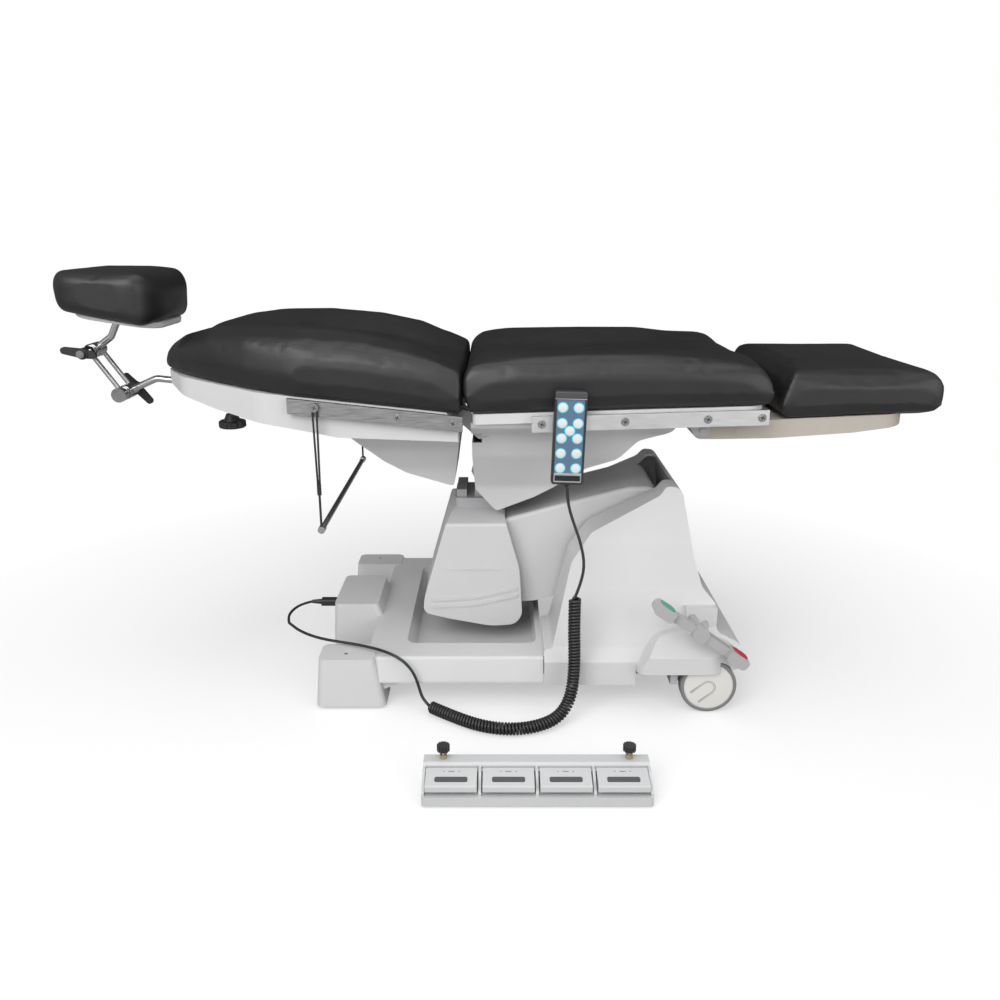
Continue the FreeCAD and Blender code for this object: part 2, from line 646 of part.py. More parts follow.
def column_shroud():
    """White cover on the carriage, open to the arm side and below, with pressed lines."""
    def shell(inset):
        return side_plate(shroud_side(inset), -200, 200).common(front_plate(shroud_front(inset), -220, 80))
    outer = shell(0)
    wall = COVER_WALL
    room = shell(wall)
    mouth = joined([block(-30, 100, -SLOT_HALF, SLOT_HALF, 60, 362),
                    block(-30, 100, -ARM_COVER_HALF - 3, ARM_COVER_HALF + 3, 350, 379)])
    floor = side_plate([(-178, 60), (-150, 150, 10), (40, 130), (60, 60)], -SLOT_HALF, SLOT_HALF)
    neck = rod_z(-64, 0, 35 + SOFT_GAP, SHROUD_TOP - 30, SHROUD_TOP + 10)
    cover = outer.cut([room, mouth, floor, neck])
    bar = block(-122, 0, -SHROUD_HALF - 1.6, -SHROUD_HALF + 1, 262, 266)
    ridges = [shroud_ridge(z) for z in (196, 178)]
    collar = rod_z(-64, 0, 47, SHROUD_TOP - wall - 14, SHROUD_TOP - wall)
    collar = collar.cut(rod_z(-64, 0, 35, 340, 420))
    return joined([cover, collar, bar] + ridges)


def shroud_ridge(z):
    """A gently rising rib across the shroud's near face."""
    outline = [(-162, z - 14), (-60, z - 8, 200), (42, z + 16), (42, z + 23), (-60, z - 1, 200), (-162, z - 7)]
    return side_plate(outline, -SHROUD_HALF - 3, -SHROUD_HALF + 1)


def seat_z(x, z0):
    """Height of a line that rises to the foot end with the seat."""
    return z0 + (x - SEAT_LEFT) * SEAT_SLOPE


def sloped(x0, x1, z_low, z_high):
    """Corners of a bar that follows the seat's slope; heights are taken at the seat's left end."""
    return [(x0, seat_z(x0, z_low)), (x1, seat_z(x1, z_low)), (x1, seat_z(x1, z_high)),
            (x0, seat_z(x0, z_high))]


def seat_pan():
    """Flat seat base plate under the cushion."""
    top = SEAT_BASE - SOFT_GAP
    outline = sloped(PAN_LEFT, PAN_RIGHT, top - PAN_T, top)
    pan = side_plate(outline, -PAN_HALF, PAN_HALF)
    plan = plan_plate([(PAN_LEFT, -PAN_HALF, 12), (PAN_RIGHT, -PAN_HALF, 40), (PAN_RIGHT, PAN_HALF, 40),
                       (PAN_LEFT, PAN_HALF, 12)], 500, 800)
    return pan.common(plan)


def seat_frame():
    """Welded frame under the seat pan: two long channels, tilt ears, back hinge and leg hinge lugs."""
    top = SEAT_BASE - SOFT_GAP - PAN_T
    channel = side_plate([(PAN_LEFT + 10, seat_z(PAN_LEFT, top)), (PAN_LEFT + 10, 560),
                          (TILT_X - 40, TILT_Z + 10), (TILT_X - 24, TILT_Z - 24, 20), (TILT_X + 24, TILT_Z - 24, 20),
                          (TILT_X + 60, TILT_Z + 30, 40), (200, 590, 60), (LEG_X - 34, 612),
                          (LEG_X - 34, seat_z(LEG_X, top) - 1)], HEAD_HALF + 4, HEAD_HALF + 14)
    channel = channel.cut(rod_y(TILT_X, TILT_Z, TILT_PIN_R + PIN_GAP, 0, 200))
    ties = [side_plate(sloped(x, x + 30, top - 30, top), -HEAD_HALF - 5, HEAD_HALF + 5) for x in (60, 240, 370)]
    lug = side_plate([(LEG_X - 40, seat_z(LEG_X - 40, top)), (LEG_X - 18, LEG_Z - 10, 8),
                      (LEG_X + 15, LEG_Z - 14, 12), (LEG_X + 16, seat_z(LEG_X + 16, top))],
                     LEG_BOARD_HALF + 3, LEG_BOARD_HALF + 9)
    leg_pin = rod_y(LEG_X, LEG_Z, 7, LEG_BOARD_HALF - 30, LEG_BOARD_HALF + 12)
    hinge = side_plate([(BACK_X - 15, BACK_Z + 3, 12), (BACK_X - 15, BACK_Z - 15, 12), (PAN_LEFT + 12, 590, 10),
                        (PAN_LEFT + 60, 606), (PAN_LEFT + 60, seat_z(PAN_LEFT + 60, top)),
                        (PAN_LEFT + 2, seat_z(PAN_LEFT, top)), (BACK_X + 12, BACK_Z + 4)], 196, 204)
    hinge_pin = rod_y(BACK_X, BACK_Z, 7, 180, 206)
    sides = []
    for shape in (channel, lug, leg_pin, hinge, hinge_pin):
        sides += both_sides(shape)
    cross = [side_plate(sloped(x, x + 26, top - 24, top), -half, half)
             for x, half in ((LEG_X - 56, LEG_BOARD_HALF + 9), (PAN_LEFT + 26, 198))]
    return joined(sides + ties + cross).cut(seat_pan())


def seat_rail():
    """Near side rail of the seat with its stand-off blocks."""
    z0 = RAIL_SEAT_LOW
    bar = side_plate(sloped(RAIL_LEFT, 559, z0, z0 + RAIL_H), -RAIL_Y - RAIL_T, -RAIL_Y)
    blocks = [block(x - 12, x + 12, -RAIL_Y - 1, -PAN_HALF, seat_z(x, z0) + 6, seat_z(x, z0) + RAIL_H - 4)
              for x in SEAT_BOLTS]
    return joined([bar] + blocks)


RAIL_SEAT_LOW = 624.0
RAIL_LEFT = 66.0
SEAT_BOLTS = (87.0, 260.0, 432.0, 544.0)
BACK_BOLTS = (ROLL_X, -213.0, -98.0)


def rail_bolt(x, z):
    """Pan head screw on a rail's outer face."""
    washer = rod_y(x, z, RAIL_HEAD_R, -RAIL_Y - RAIL_T - 1.2, -RAIL_Y - RAIL_T)
    head = rod_y(x, z, RAIL_HEAD_R - 2.5, -RAIL_Y - RAIL_T - RAIL_HEAD_T, -RAIL_Y - RAIL_T - 1)
    socket = rod_y(x, z, 2.6, -RAIL_Y - RAIL_T - RAIL_HEAD_T - 1, -RAIL_Y - RAIL_T - 2)
    return joined([washer, head]).cut(socket)


def seat_bolts():
    """Rail screws of both seat rails."""
    shapes = []
    for x in SEAT_BOLTS:
        near = rail_bolt(x, seat_z(x, RAIL_SEAT_LOW) + RAIL_H / 2)
        shapes.append(mirrored(near))
        if x == SEAT_BOLTS[0]:
            near.translate(V(0, -CLAMP_T, 0))
        shapes.append(near)
    return Part.makeCompound(shapes)


def belly_side(inset):
    """Side outline of the moulded cover under the seat."""
    top = SEAT_BASE - SOFT_GAP - PAN_T - 0.5
    return [(-62 + inset, seat_z(-62, top)), (-62 + inset, 545, 60), (-57 + inset, 456, 14), (-9, 401 + inset, 12),
            (79, 436 + inset, 60), (123, 460 + inset, 60), (196, 514 + inset, 60), (262, 538 + inset, 60),
            (306, 584 + inset, 40), (372, 606, 20), (372, seat_z(372, top))]


def belly_front(inset):
    """Front outline of the seat cover: wide under the rails, narrow below."""
    half = [(272 - inset, 680), (266 - inset, 628, 12), (196 - inset, 598, 40), (186 - inset, 548, 60),
            (134 - inset, 462, 40), (128 - inset, 395)]
    return half + [(-p[0],) + p[1:] for p in reversed(half)]


def seat_belly():
    """White moulding under the seat, open on top and below for the carriage head."""
    def shell(inset, extra):
        side = belly_side(inset)
        if extra:
            side = side[:-1] + [(372 - inset, 760)]
            side[-2] = (372 - inset, 606)
            side[0] = (-62 + inset, 760)
        return side_plate(side, -300, 300).common(front_plate(belly_front(inset), -100, 400))
    body = shell(0, False).cut(shell(COVER_WALL, True))
    mouth = side_plate([(-80, 380), (-80, 500), (-50, 520), (60, 520), (96, 440), (96, 380)], -98, 98)
    hinge_gap = block(-70, -40, -212, 212, 580, 660)
    return max(body.cut([mouth, hinge_gap, seat_frame()]).Solids, key=lambda solid: solid.Volume)


def seat_actuators():
    """Two electric spindles under the seat: one for the leg rest and one for the back."""
    leg = [rod(V(70, 28, 560), V(250, 28, 592), 15), rod(V(248, 28, 591.6), V(338, 28, 611), 8),
           rod(V(78, 28, 532), V(150, 28, 545), 19), block(58, 92, 10, 46, 528, 576)]
    back = [rod(V(70, -28, 560), V(150, -28, 578), 15), rod(V(150, -28, 578), V(230, -28, 592), 8),
            rod(V(78, -28, 532), V(140, -28, 543), 19), block(58, 92, -46, -10, 528, 576)]
    hangers = [block(66, 84, y - 6, y + 6, 570, 612) for y in (28, -28)]
    return joined(leg + back + hangers + [block(64, 86, -40, 40, 606, 613)])


def cushion_station(x, half, stitch, crest, valley, z_low):
    """One cross-section wire of a cushion with raised sides and a hollow middle."""
    side = [(half - 4, z_low, 7), (half, z_low + (stitch - z_low) * 0.4, 20), (half * 0.965, stitch, 12),
            (half * 0.69, crest, half * 0.18), (half * 0.3, valley, half * 0.18)]
    return front_wire(side + [(-p[0],) + p[1:] for p in reversed(side)], x)


def seat_cushion():
    """Seat cushion with raised sides, dished middle and rounded front end."""
    low = seat_z(SEAT_LEFT, SEAT_BASE)
    profile = [(SEAT_LEFT + 15, low), (SEAT_LEFT + SOFT_GAP, low + 42), (SEAT_LEFT + SOFT_GAP, 742, 16),
               (-52, 773, 40), (0, 800), (500, 800), (540, 764, 50), (566, 727, 36), (SEAT_RIGHT, 698, 20),
               (560, seat_z(560, SEAT_BASE), 8)]
    body = loft([cushion_station(x, SEAT_HALF, stitch, crest, valley, seat_z(x, SEAT_BASE))
                 for x, stitch, crest, valley in SEAT_STATIONS])
    eyes = both_sides(rod_y(BACK_X, BACK_Z, 14, -193, -181))
    return body.common(side_plate(profile, -320, 320)).cut(eyes)


SEAT_STATIONS = ((SEAT_LEFT, 760, 775, 755), (20, 770, 786, 757), (200, 774, 790, 757), (340, 775, 789, 760),
                 (430, 770, 777, 767), (500, 765, 776, 771), (SEAT_RIGHT + 1, 748, 764, 761))


def back_z(x, z0):
    """Height of a line that rises to the head end with the back."""
    return z0 + (BACK_X - x) * BACK_SLOPE


BACK_BASE = 662.0
BOARD_HALF = 283.0
BAR_Z = 682.0
BAR_BEND_X = -818.0
GUIDE_LEFT = -696.0
GUIDE_RIGHT = -584.0
KNOB_X = -647.0
KNOB_R = 32.0
RAIL_BACK_LOW = 628.0


def board_side(inset):
    """Side outline of the back board, deeper towards the hinge."""
    top = BACK_BASE - SOFT_GAP
    return [(BACK_X - 11 - inset, 646), (BACK_X - 34, back_z(BACK_X - 34, top) - inset),
            (-742 + inset, back_z(-742, top) - inset), (-742 + inset, 704 + inset, 8), (-688, 686 + inset, 20),
            (-610, 664 + inset, 60), (-520, 646 + inset, 60), (-415, 627 + inset, 60), (-342, 612 + inset, 30),
            (BACK_X - 9 - inset, 603 + inset)]


def back_plan(inset):
    """Plan outline of the back board, narrowed at the head end."""
    half = BOARD_HALF - inset
    return [(BACK_X, -half), (-500, -half, 90), (-690, -196 + inset, 70), (-742 + inset, -118 + inset, 40),
            (-742 + inset, 118 - inset, 40), (-690, 196 - inset, 70), (-500, half, 90), (BACK_X, half)]


def back_board():
    """Moulded back shell with the headrest guide, knob boss and two hinge eyes."""
    outer = side_plate(board_side(0), -300, 300).common(plan_plate(back_plan(0), 500, 900))
    inner = side_plate(board_side(COVER_WALL + 2), -300, 300).common(
        plan_plate(back_plan(COVER_WALL + 2), 500, 900))
    shell = outer.cut(inner)
    guide = side_plate([(GUIDE_LEFT, back_z(GUIDE_LEFT, BAR_LINE) - 15, 6), (GUIDE_RIGHT, back_z(GUIDE_RIGHT, BAR_LINE) - 15, 6),
                        (GUIDE_RIGHT, back_z(GUIDE_RIGHT, BACK_BASE) - 3),
                        (GUIDE_LEFT, back_z(GUIDE_LEFT, BACK_BASE) - 3)], -20, 20)
    boss = cone_z(KNOB_X, 0, 21, 25, 620, 664)
    eye_arm = side_plate([(BACK_X - 4, BACK_Z - 12.5), (-150, 625), (-150, 655), (BACK_X - 4, BACK_Z + 12.5)],
                         182, 192)
    eye = joined([eye_arm, rod_y(BACK_X, BACK_Z, 13, 182, 192)])
    body = joined([shell, guide, boss, eye, mirrored(eye)])
    relief = joined([rod_y(BACK_X, BACK_Z, 23, 194, 208), rod_y(BACK_X, BACK_Z, 16, 206, 209)])
    holes = [rod_y(BACK_X, BACK_Z, 7 + PIN_GAP, 170, 200), relief]
    holes += [mirrored(h) for h in holes]
    bar = rod(V(-500, 0, back_z(-500, BAR_LINE)), V(-780, 0, back_z(-780, BAR_LINE)), BAR_R + PIN_GAP)
    stem = rod_z(KNOB_X, 0, 5 + PIN_GAP, 600, back_z(KNOB_X, BAR_LINE))
    return body.cut(holes + [bar, stem])


BAR_LINE = 612.5


def back_belly():
    """White moulding that bulges below the back board over its linkage."""
    def shell(inset, open_top):
        top = 640 if not open_top else 700
        side = [(-342 + inset, 612.5 + (0 if not open_top else 40)), (-342 + inset, 604), (-308, 560 + inset, 60),
                (-266, 522 + inset, 80), (-218, 492 + inset, 60), (-120, 461 + inset, 30),
                (-107 - inset, 459 + inset, 6), (BACK_X - 9 - inset, 602.5),
                (BACK_X - 9 - inset, 602.5 + (0 if not open_top else 60))]
        front = [(230 - inset, top), (206 - inset, 604, 10), (150 - inset, 556, 60), (122 - inset, 500, 60),
                 (112 - inset, 440)]
        front = front + [(-p[0],) + p[1:] for p in reversed(front)]
        return side_plate(side, -300, 300).common(front_plate(front, -400, 0))
    return shell(0, False).cut([shell(COVER_WALL, True), back_board()])


def back_rails():
    """Flat side rails of the back with stand-off blocks."""
    bar = side_plate([(-441, back_z(-441, RAIL_BACK_LOW)), (-78, back_z(-78, RAIL_BACK_LOW)),
                      (-78, back_z(-78, RAIL_BACK_LOW) + RAIL_H), (-441, back_z(-441, RAIL_BACK_LOW) + RAIL_H)],
                     -RAIL_Y - RAIL_T, -RAIL_Y)
    blocks = [block(x - 12, x + 12, -RAIL_Y - 1, -BOARD_HALF, back_z(x, RAIL_BACK_LOW) + 6,
                    back_z(x, RAIL_BACK_LOW) + RAIL_H - 6) for x in BACK_BOLTS]
    rail = joined([bar] + blocks)
    return Part.makeCompound([rail, mirrored(rail)])


STUD_R = 4.2
LOOP_Y = RAIL_Y + RAIL_T + 5


def back_bolts():
    """Rail screws of both back rails; the head end ones are long studs that carry the roll bar."""
    shapes = []
    for x in BACK_BOLTS[1:]:
        shapes += both_sides(rail_bolt(x, back_z(x, RAIL_BACK_LOW) + RAIL_H / 2))
    stud = joined([rod_y(ROLL_X, ROLL_PIVOT_Z, STUD_R, -LOOP_Y - 4, -RAIL_Y - RAIL_T),
                   rod_y(ROLL_X, ROLL_PIVOT_Z, RAIL_HEAD_R, -LOOP_Y - 6, -LOOP_Y - 3.5)])
    return Part.makeCompound(shapes + both_sides(stud))


def roll_bar_loops():
    """Black elastic loops that hang from the studs and carry the roll bar's ends."""
    ring_r = STUD_R + PIN_GAP + LOOP_R
    ring = Part.makeTorus(ring_r, LOOP_R, V(ROLL_X, -LOOP_Y, ROLL_PIVOT_Z), V(0, 1, 0))
    top = [V(ROLL_X + side * 4.5, -LOOP_Y, ROLL_PIVOT_Z - 5) for side in (-1, 1)]
    join = V(ROLL_X, -LOOP_Y, 505)
    strands = [rod(p, join + V(p.x - ROLL_X, 0, 0) * 0.45, LOOP_R) for p in top]
    sleeve = rod(join + V(0, 0, 12), join - V(0, 0, 12), 4.6)
    tail = rod(join, V(ROLL_X, -LOOP_Y, ROLL_Z + 6), LOOP_R + 0.3)
    loop = joined([ring] + strands + [sleeve, tail])
    return Part.makeCompound(both_sides(loop))


def roll_bar():
    """Steel paper roll bar with dark end caps."""
    bar = rod_y(ROLL_X, ROLL_Z, ROLL_R, -ROLL_HALF, ROLL_HALF)
    caps = both_sides(rod_y(ROLL_X, ROLL_Z, 8, -LOOP_Y - 4, -ROLL_HALF))
    return joined([bar] + caps).cut(roll_bar_loops())


def back_station(x, half, stitch, crest, valley):
    """One cross-section wire of the back cushion."""
    return cushion_station(x, half, stitch, crest, valley, back_z(x, BACK_BASE))


FOLD_X = BACK_X - FOLD_LEN
FOLD_STATIONS = ((BACK_X - SOFT_GAP, 298, 746, 754, 741), (-130, 298, 766, 774, 750), (FOLD_X, 298, 781, 806, 764))
BACK_STATIONS = ((FOLD_X, 298, 781, 806, 764), (-300, 298, 796, 828, 785), (-430, 298, 808, 839, 798),
                 (-530, 272, 813, 841, 804), (-620, 232, 808, 829, 808), (-700, 186, 792, 808, 800),
                 (-748, 146, 770, 785, 780), (BACK_LEFT, 112, 750, 757, 755))


def back_cushion():
    """Main body of the back cushion, with raised sides and a narrowed head end."""
    return loft([back_station(*s) for s in BACK_STATIONS])


def back_cushion_fold():
    """The soft lower end of the back cushion, which folds at the hinge."""
    return loft([back_station(*s) for s in FOLD_STATIONS]).cut(back_board())


def head_lock_knob():
    """Clamp knob under the back that locks the headrest bar."""
    stem = rod_z(KNOB_X, 0, 5, 590, back_z(KNOB_X, BAR_LINE) - BAR_R - 1.0)
    disc = rod_z(KNOB_X, 0, KNOB_R, 573, 590)
    disc = disc.makeFillet(4, [disc.Edges[0], disc.Edges[2]])
    neck = cone_z(KNOB_X, 0, 20, 13, 590, 606)
    grooves = []
    for i in range(8):
        angle = i * math.pi / 4
        grooves.append(rod_z(KNOB_X + (KNOB_R + 4) * math.cos(angle), (KNOB_R + 4) * math.sin(angle), 8, 570, 593))
    return joined([disc.cut(grooves), neck, stem])


def bent_bar(points, bends, radius):
    """A round bar along straight runs joined by tangent arcs."""
    return pipe(route_wire(points, bends), radius)


def route_wire(points, radii):
    """Straight runs with an arc of the given radius at each inner point."""
    edges = []
    here = points[0]
    for i in range(1, len(points) - 1):
        corner = points[i]
        back = (points[i - 1] - corner).normalize()
        ahead = (points[i + 1] - corner).normalize()
        half = back.getAngle(ahead) / 2
        run = radii[i - 1] / math.tan(half)
        start = corner + back * run
        end = corner + ahead * run
        middle = corner + (back + ahead).normalize() * (radii[i - 1] / math.sin(half) - radii[i - 1])
        edges.append(Part.LineSegment(here, start).toShape())
        edges.append(Part.Arc(start, middle, end).toShape())
        here = end
    edges.append(Part.LineSegment(here, points[-1]).toShape())
    return Part.Wire(edges)


def pipe(path, radius):
    """A round section swept along a path of runs and arcs."""
    first = path.OrderedEdges[0]
    start = first.valueAt(first.FirstParameter)
    along = first.tangentAt(first.FirstParameter)
    if (start - path.OrderedVertexes[0].Point).Length > 1e-6:
        start = first.valueAt(first.LastParameter)
        along = first.tangentAt(first.LastParameter) * -1
    ring = Part.Wire([Part.Circle(start, along, radius).toShape()])
    return path.makePipeShell([ring], True, False)


def headrest_bar():
    """Chrome bar that slides in the back board and carries the headrest linkage."""
    bar = bent_bar([V(-575, 0, back_z(-575, BAR_LINE)), V(BAR_BEND_X, 0, back_z(BAR_BEND_X, BAR_LINE)),
                    V(LOW_X + 10, 0, LOW_Z + 4)], [26], BAR_R)
    return bar.cut(rod_y(LOW_X, LOW_Z, KNUCKLE_R + PIN_GAP, -26, 26))


def lower_knuckle():
    """Clamp sleeve and pin at the end of the headrest bar."""
    sleeve = rod_y(LOW_X, LOW_Z, KNUCKLE_R, -24, 24)
    pin = rod_y(LOW_X, LOW_Z, KNUCKLE_PIN_R, -54, 66)
    cap = rod_y(LOW_X, LOW_Z, KNUCKLE_R, -58, -44)
    return joined([sleeve, pin, cap])


def link_rods():
    """Twin rods with an eye on each knuckle pin."""
    low, top = V(LOW_X, 0, LOW_Z), V(TOP_X, 0, TOP_Z)
    shapes = []
    for y in (-ROD_Y, ROD_Y):
        link = [rod(low + V(0, y, 0), top + V(0, y, 0), ROD_R)]
        link += [rod_y(p.x, p.z, KNUCKLE_R - 3, y - 5, y + 5) for p in (low, top)]
        pins = [rod_y(p.x, p.z, KNUCKLE_PIN_R + PIN_GAP, -60, 60) for p in (low, top)]
        shapes.append(joined(link).cut(pins))
    return Part.makeCompound(shapes)


def wing_lever(x, z, y0, y1, start, end):
    """Clamp lever: a hub on the pin with wings to both tips."""
    shapes = [rod_y(x, z, 13, y0, y1)]
    for tip in (start, end):
        along = V(tip[0] - x, 0, tip[1] - z).normalize()
        across = V(-along.z, 0, along.x)
        corners = [(x + across.x * 11, z + across.z * 11), (tip[0] + across.x * 8, tip[1] + across.z * 8),
                   (tip[0] - across.x * 8, tip[1] - across.z * 8), (x - across.x * 11, z - across.z * 11)]
        shapes += [side_plate(corners, y0 + 3, y1 - 3), rod_y(tip[0], tip[1], 8, y0 + 3, y1 - 3)]
    lever = joined(shapes)
    return lever.cut(rod_y(x, z, KNUCKLE_PIN_R + PIN_GAP, y0 - 1, y1 + 1))


def lower_lever():
    """Wing lever on the far end of the lower knuckle pin."""
    return wing_lever(LOW_X, LOW_Z, 48, 62, (-913, 688), (-862, 628))


def upper_lever():
    """Wing lever on the near end of the upper knuckle pin."""
    return wing_lever(TOP_X, TOP_Z, -72, -56, (-998, 766), (-934, 755))


def upper_knuckle():
    """Clamp sleeve and pin that carry the headrest, with the bent stem."""
    sleeve = rod_y(TOP_X, TOP_Z, KNUCKLE_R, -24, 24)
    pin = rod_y(TOP_X, TOP_Z, KNUCKLE_PIN_R, -78, 46)
    cap = rod_y(TOP_X, TOP_Z, 9, -82, -74)
    stem = bent_bar([V(TOP_X + 4, 0, TOP_Z + 4), V(-914, 0, 790), V(-886, 0, 845)], [16], 8)
    return joined([sleeve, pin, cap, stem]).cut(headrest_plate())


def headrest_shape(points, half):
    """A headrest layer, drawn level about the top of its plate and then tilted."""
    outline = [(HEADREST_X + p[0], HEADREST_Z + p[1]) + p[2:] for p in points]
    return turned(side_plate(outline, -half, half), HEADREST_X, HEADREST_Z, HEADREST_TILT)


def headrest_plate():
    """Pale support plate under the headrest cushion."""
    outline = [(-HEADREST_PLATE_LEFT, -HEADREST_PLATE_T, 6), (HEADREST_PLATE_RIGHT, -HEADREST_PLATE_T, 6),
               (HEADREST_PLATE_RIGHT, -SOFT_GAP), (-HEADREST_PLATE_LEFT, -SOFT_GAP)]
    return headrest_shape(outline, HEADREST_PLATE_HALF)


HEADREST_PLATE_LEFT = 114.0
HEADREST_PLATE_RIGHT = 105.0
HEADREST_OUTLINE = ((-126, 0, 34), (-151, 84, 38), (126, 119, 44), (133, 0, 34))


def headrest_cushion():
    """Wedge shaped headrest cushion with full round edges."""
    body = headrest_shape(HEADREST_OUTLINE, HEADREST_W / 2)
    rims = [e for e in body.Edges if e.BoundBox.YLength < 1e-6]
    return body.makeFillet(28, rims)


def leg_cushion():
    """Leg rest cushion with rounded edges."""
    profile = [(619, 643, 8), (930, 657, 10), (LEG_RIGHT, 676, 16), (LEG_RIGHT, 712, 22), (926, 742, 24),
               (760, 752, 300), (646, 754, 20), (622, 742, 14), (596, 676, 14), (598, 652, 12)]
    section = [(LEG_HALF - 6, 640, 10), (LEG_HALF, 670, 20), (LEG_HALF - 6, 742, 22), (0, 756, 600)]
    section = section + [(-p[0],) + p[1:] for p in reversed(section[:-1])]
    return side_plate(profile, -300, 300).common(front_plate(section, 560, 980))


def leg_board():
    """Moulded leg rest board with a rounded nose on the hinge."""
    profile = [(LEG_X - 20, LEG_Z - 20, 19.9), (LEG_X - 20, LEG_Z + 20, 19.9), (LEG_X + 24, LEG_Z + 20),
               (590, 640), (612, 642.3 - SOFT_GAP), (876, 654.2 - SOFT_GAP, 4), (876, 628, 10), (760, 612, 80),
               (588, 600, 80), (478, 598, 30)]
    board = side_plate(profile, -LEG_BOARD_HALF, LEG_BOARD_HALF)
    plan = plan_plate([(400, -LEG_BOARD_HALF), (877, -LEG_BOARD_HALF, 50), (877, LEG_BOARD_HALF, 50),
                       (400, LEG_BOARD_HALF)], 560, 700)
    board = board.common(plan)
    room = side_plate([(500, 606), (500, 632), (590, 634), (850, 646), (850, 634), (760, 620), (588, 608)],
                      -LEG_BOARD_HALF + 6, LEG_BOARD_HALF - 6)
    notch = block(LEG_X - 40, LEG_X + 30, -150, 150, 560, 700)
    bores = both_sides(rod_y(LEG_X, LEG_Z, 7 + PIN_GAP, LEG_BOARD_HALF - 31, LEG_BOARD_HALF + 1))
    cap = rod_y(516, 615, 7, -LEG_BOARD_HALF - 1.5, -LEG_BOARD_HALF + 4)
    return joined([board.cut([room, notch] + bores), cap, mirrored(cap)])


def handset_place(shape):
    """Leans the handset with the seat rail."""
    return turned(shape, HANDSET_X, 646, math.degrees(math.atan(SEAT_SLOPE)))


HANDSET_BACK = -304.5
HOOK_Z = 644.0
CLAMP_T = 1.5


def handset_case():
    """Handset shell with a hook pocket in its back and a strain relief below."""
    z0, z1 = HANDSET_Z - HANDSET_H / 2, HANDSET_Z + HANDSET_H / 2
    y0 = HANDSET_BACK - HANDSET_T
    body = front_case(z0, z1, y0, HANDSET_BACK)
    face = block(HANDSET_X - HANDSET_W / 2 + 5, HANDSET_X + HANDSET_W / 2 - 5, y0 - 1, y0 + 1.0, z0 + 5, z1 - 17)
    slot = block(HANDSET_X - 8, HANDSET_X + 8, HANDSET_BACK - 8, HANDSET_BACK - 1.8, HOOK_Z - 62, HOOK_Z + 16)
    mouth = block(HANDSET_X - 8, HANDSET_X + 8, HANDSET_BACK - 6, HANDSET_BACK + 1, HOOK_Z - 62, HOOK_Z + SOFT_GAP)
    relief = cone_z(HANDSET_X, y0 + 9, CORD_R + 0.6, 6.5, z0 - 7, z0 + 1)
    return handset_place(joined([body.cut([face, slot, mouth]), relief]))


def front_case(z0, z1, y0, y1):
    """A rounded handset block between two faces."""
    points = rect(HANDSET_X - HANDSET_W / 2, HANDSET_X + HANDSET_W / 2, z0, z1, 6)
    body = side_plate(points, y0, y1)
    edges = [e for e in body.Edges if e.BoundBox.YLength < 1e-6 and abs(e.BoundBox.YMin - y0) < 1e-6]
    return body.makeFillet(2.5, edges)


def handset_keypad():
    """Printed membrane foil in the handset's face recess."""
    z0, z1 = HANDSET_Z - HANDSET_H / 2, HANDSET_Z + HANDSET_H / 2
    y0 = HANDSET_BACK - HANDSET_T
    foil = block(HANDSET_X - HANDSET_W / 2 + 5.2, HANDSET_X + HANDSET_W / 2 - 5.2, y0 + 0.2, y0 + 1.0,
                 z0 + 5.2, z1 - 17.2)
    return handset_place(foil)


def handset_hook():
    """Upturned hook on the rail's outer face."""
    face = -RAIL_Y - RAIL_T
    stem = block(HANDSET_X - 6, HANDSET_X + 6, HANDSET_BACK - 5.2, face + 1, HOOK_Z - 5, HOOK_Z)
    lip = block(HANDSET_X - 6, HANDSET_X + 6, HANDSET_BACK - 5.2, HANDSET_BACK - 2.4, HOOK_Z - 5, HOOK_Z + 11)
    clamp = side_plate(sloped(RAIL_LEFT, HANDSET_X + 12, RAIL_SEAT_LOW - 1, RAIL_SEAT_LOW + RAIL_H + 1),
                       face - CLAMP_T, face)
    return joined([clamp, handset_place(joined([stem, lip]))])


def brake_place(shape):
    """Moves a lever piece drawn level at the origin to its slope on the brake shaft."""
    moved = shape.copy()
    moved.rotate(V(0, 0, 0), V(0, 1, 0), -BRAKE_DEG)
    moved.translate(V(BRAKE_X, 0, BRAKE_Z))
    return moved


PADDLE_L = 50.0
PADDLE_D = 36.0
PADDLE_H = 26.0
PAD_T = 3.0


def brake_lever():
    """Rocking brake pedals on both sides, joined by one cross shaft."""
    bar = side_plate([(-BRAKE_ARM + 30, -11, 8), (-20, -9), (20, -9), (BRAKE_ARM - 30, -11, 8),
                      (BRAKE_ARM - 30, 9, 8), (20, 11), (-20, 11), (-BRAKE_ARM + 30, 9, 8)],
                     -BRAKE_Y - 22, -BRAKE_Y)
    shapes = [bar, rod_y(0, 0, 19, -BRAKE_Y - 26, -BRAKE_Y), rod_y(-2, 22, 7, -BRAKE_Y - 16, -BRAKE_Y - 2),
              block(-9, 5, -BRAKE_Y - 14, -BRAKE_Y - 4, 8, 22)]
    for sign in (-1, 1):
        outline = [(sign * (BRAKE_ARM - PADDLE_L), -PADDLE_H / 2, 6), (sign * BRAKE_ARM, -PADDLE_H / 2, 11),
                   (sign * BRAKE_ARM, PADDLE_H / 2, 10), (sign * (BRAKE_ARM - PADDLE_L), PADDLE_H / 2, 6)]
        paddle = side_plate(outline, -BRAKE_Y - PADDLE_D, -BRAKE_Y)
        paddle = paddle.cut(pedal_pad(sign, 0.0))
        shapes.append(paddle)
    lever = joined(shapes)
    shaft = rod_y(0, 0, BRAKE_SHAFT_R, -BRAKE_Y - 2, BRAKE_Y + 2)
    return brake_place(joined([lever, mirrored(lever), shaft]))


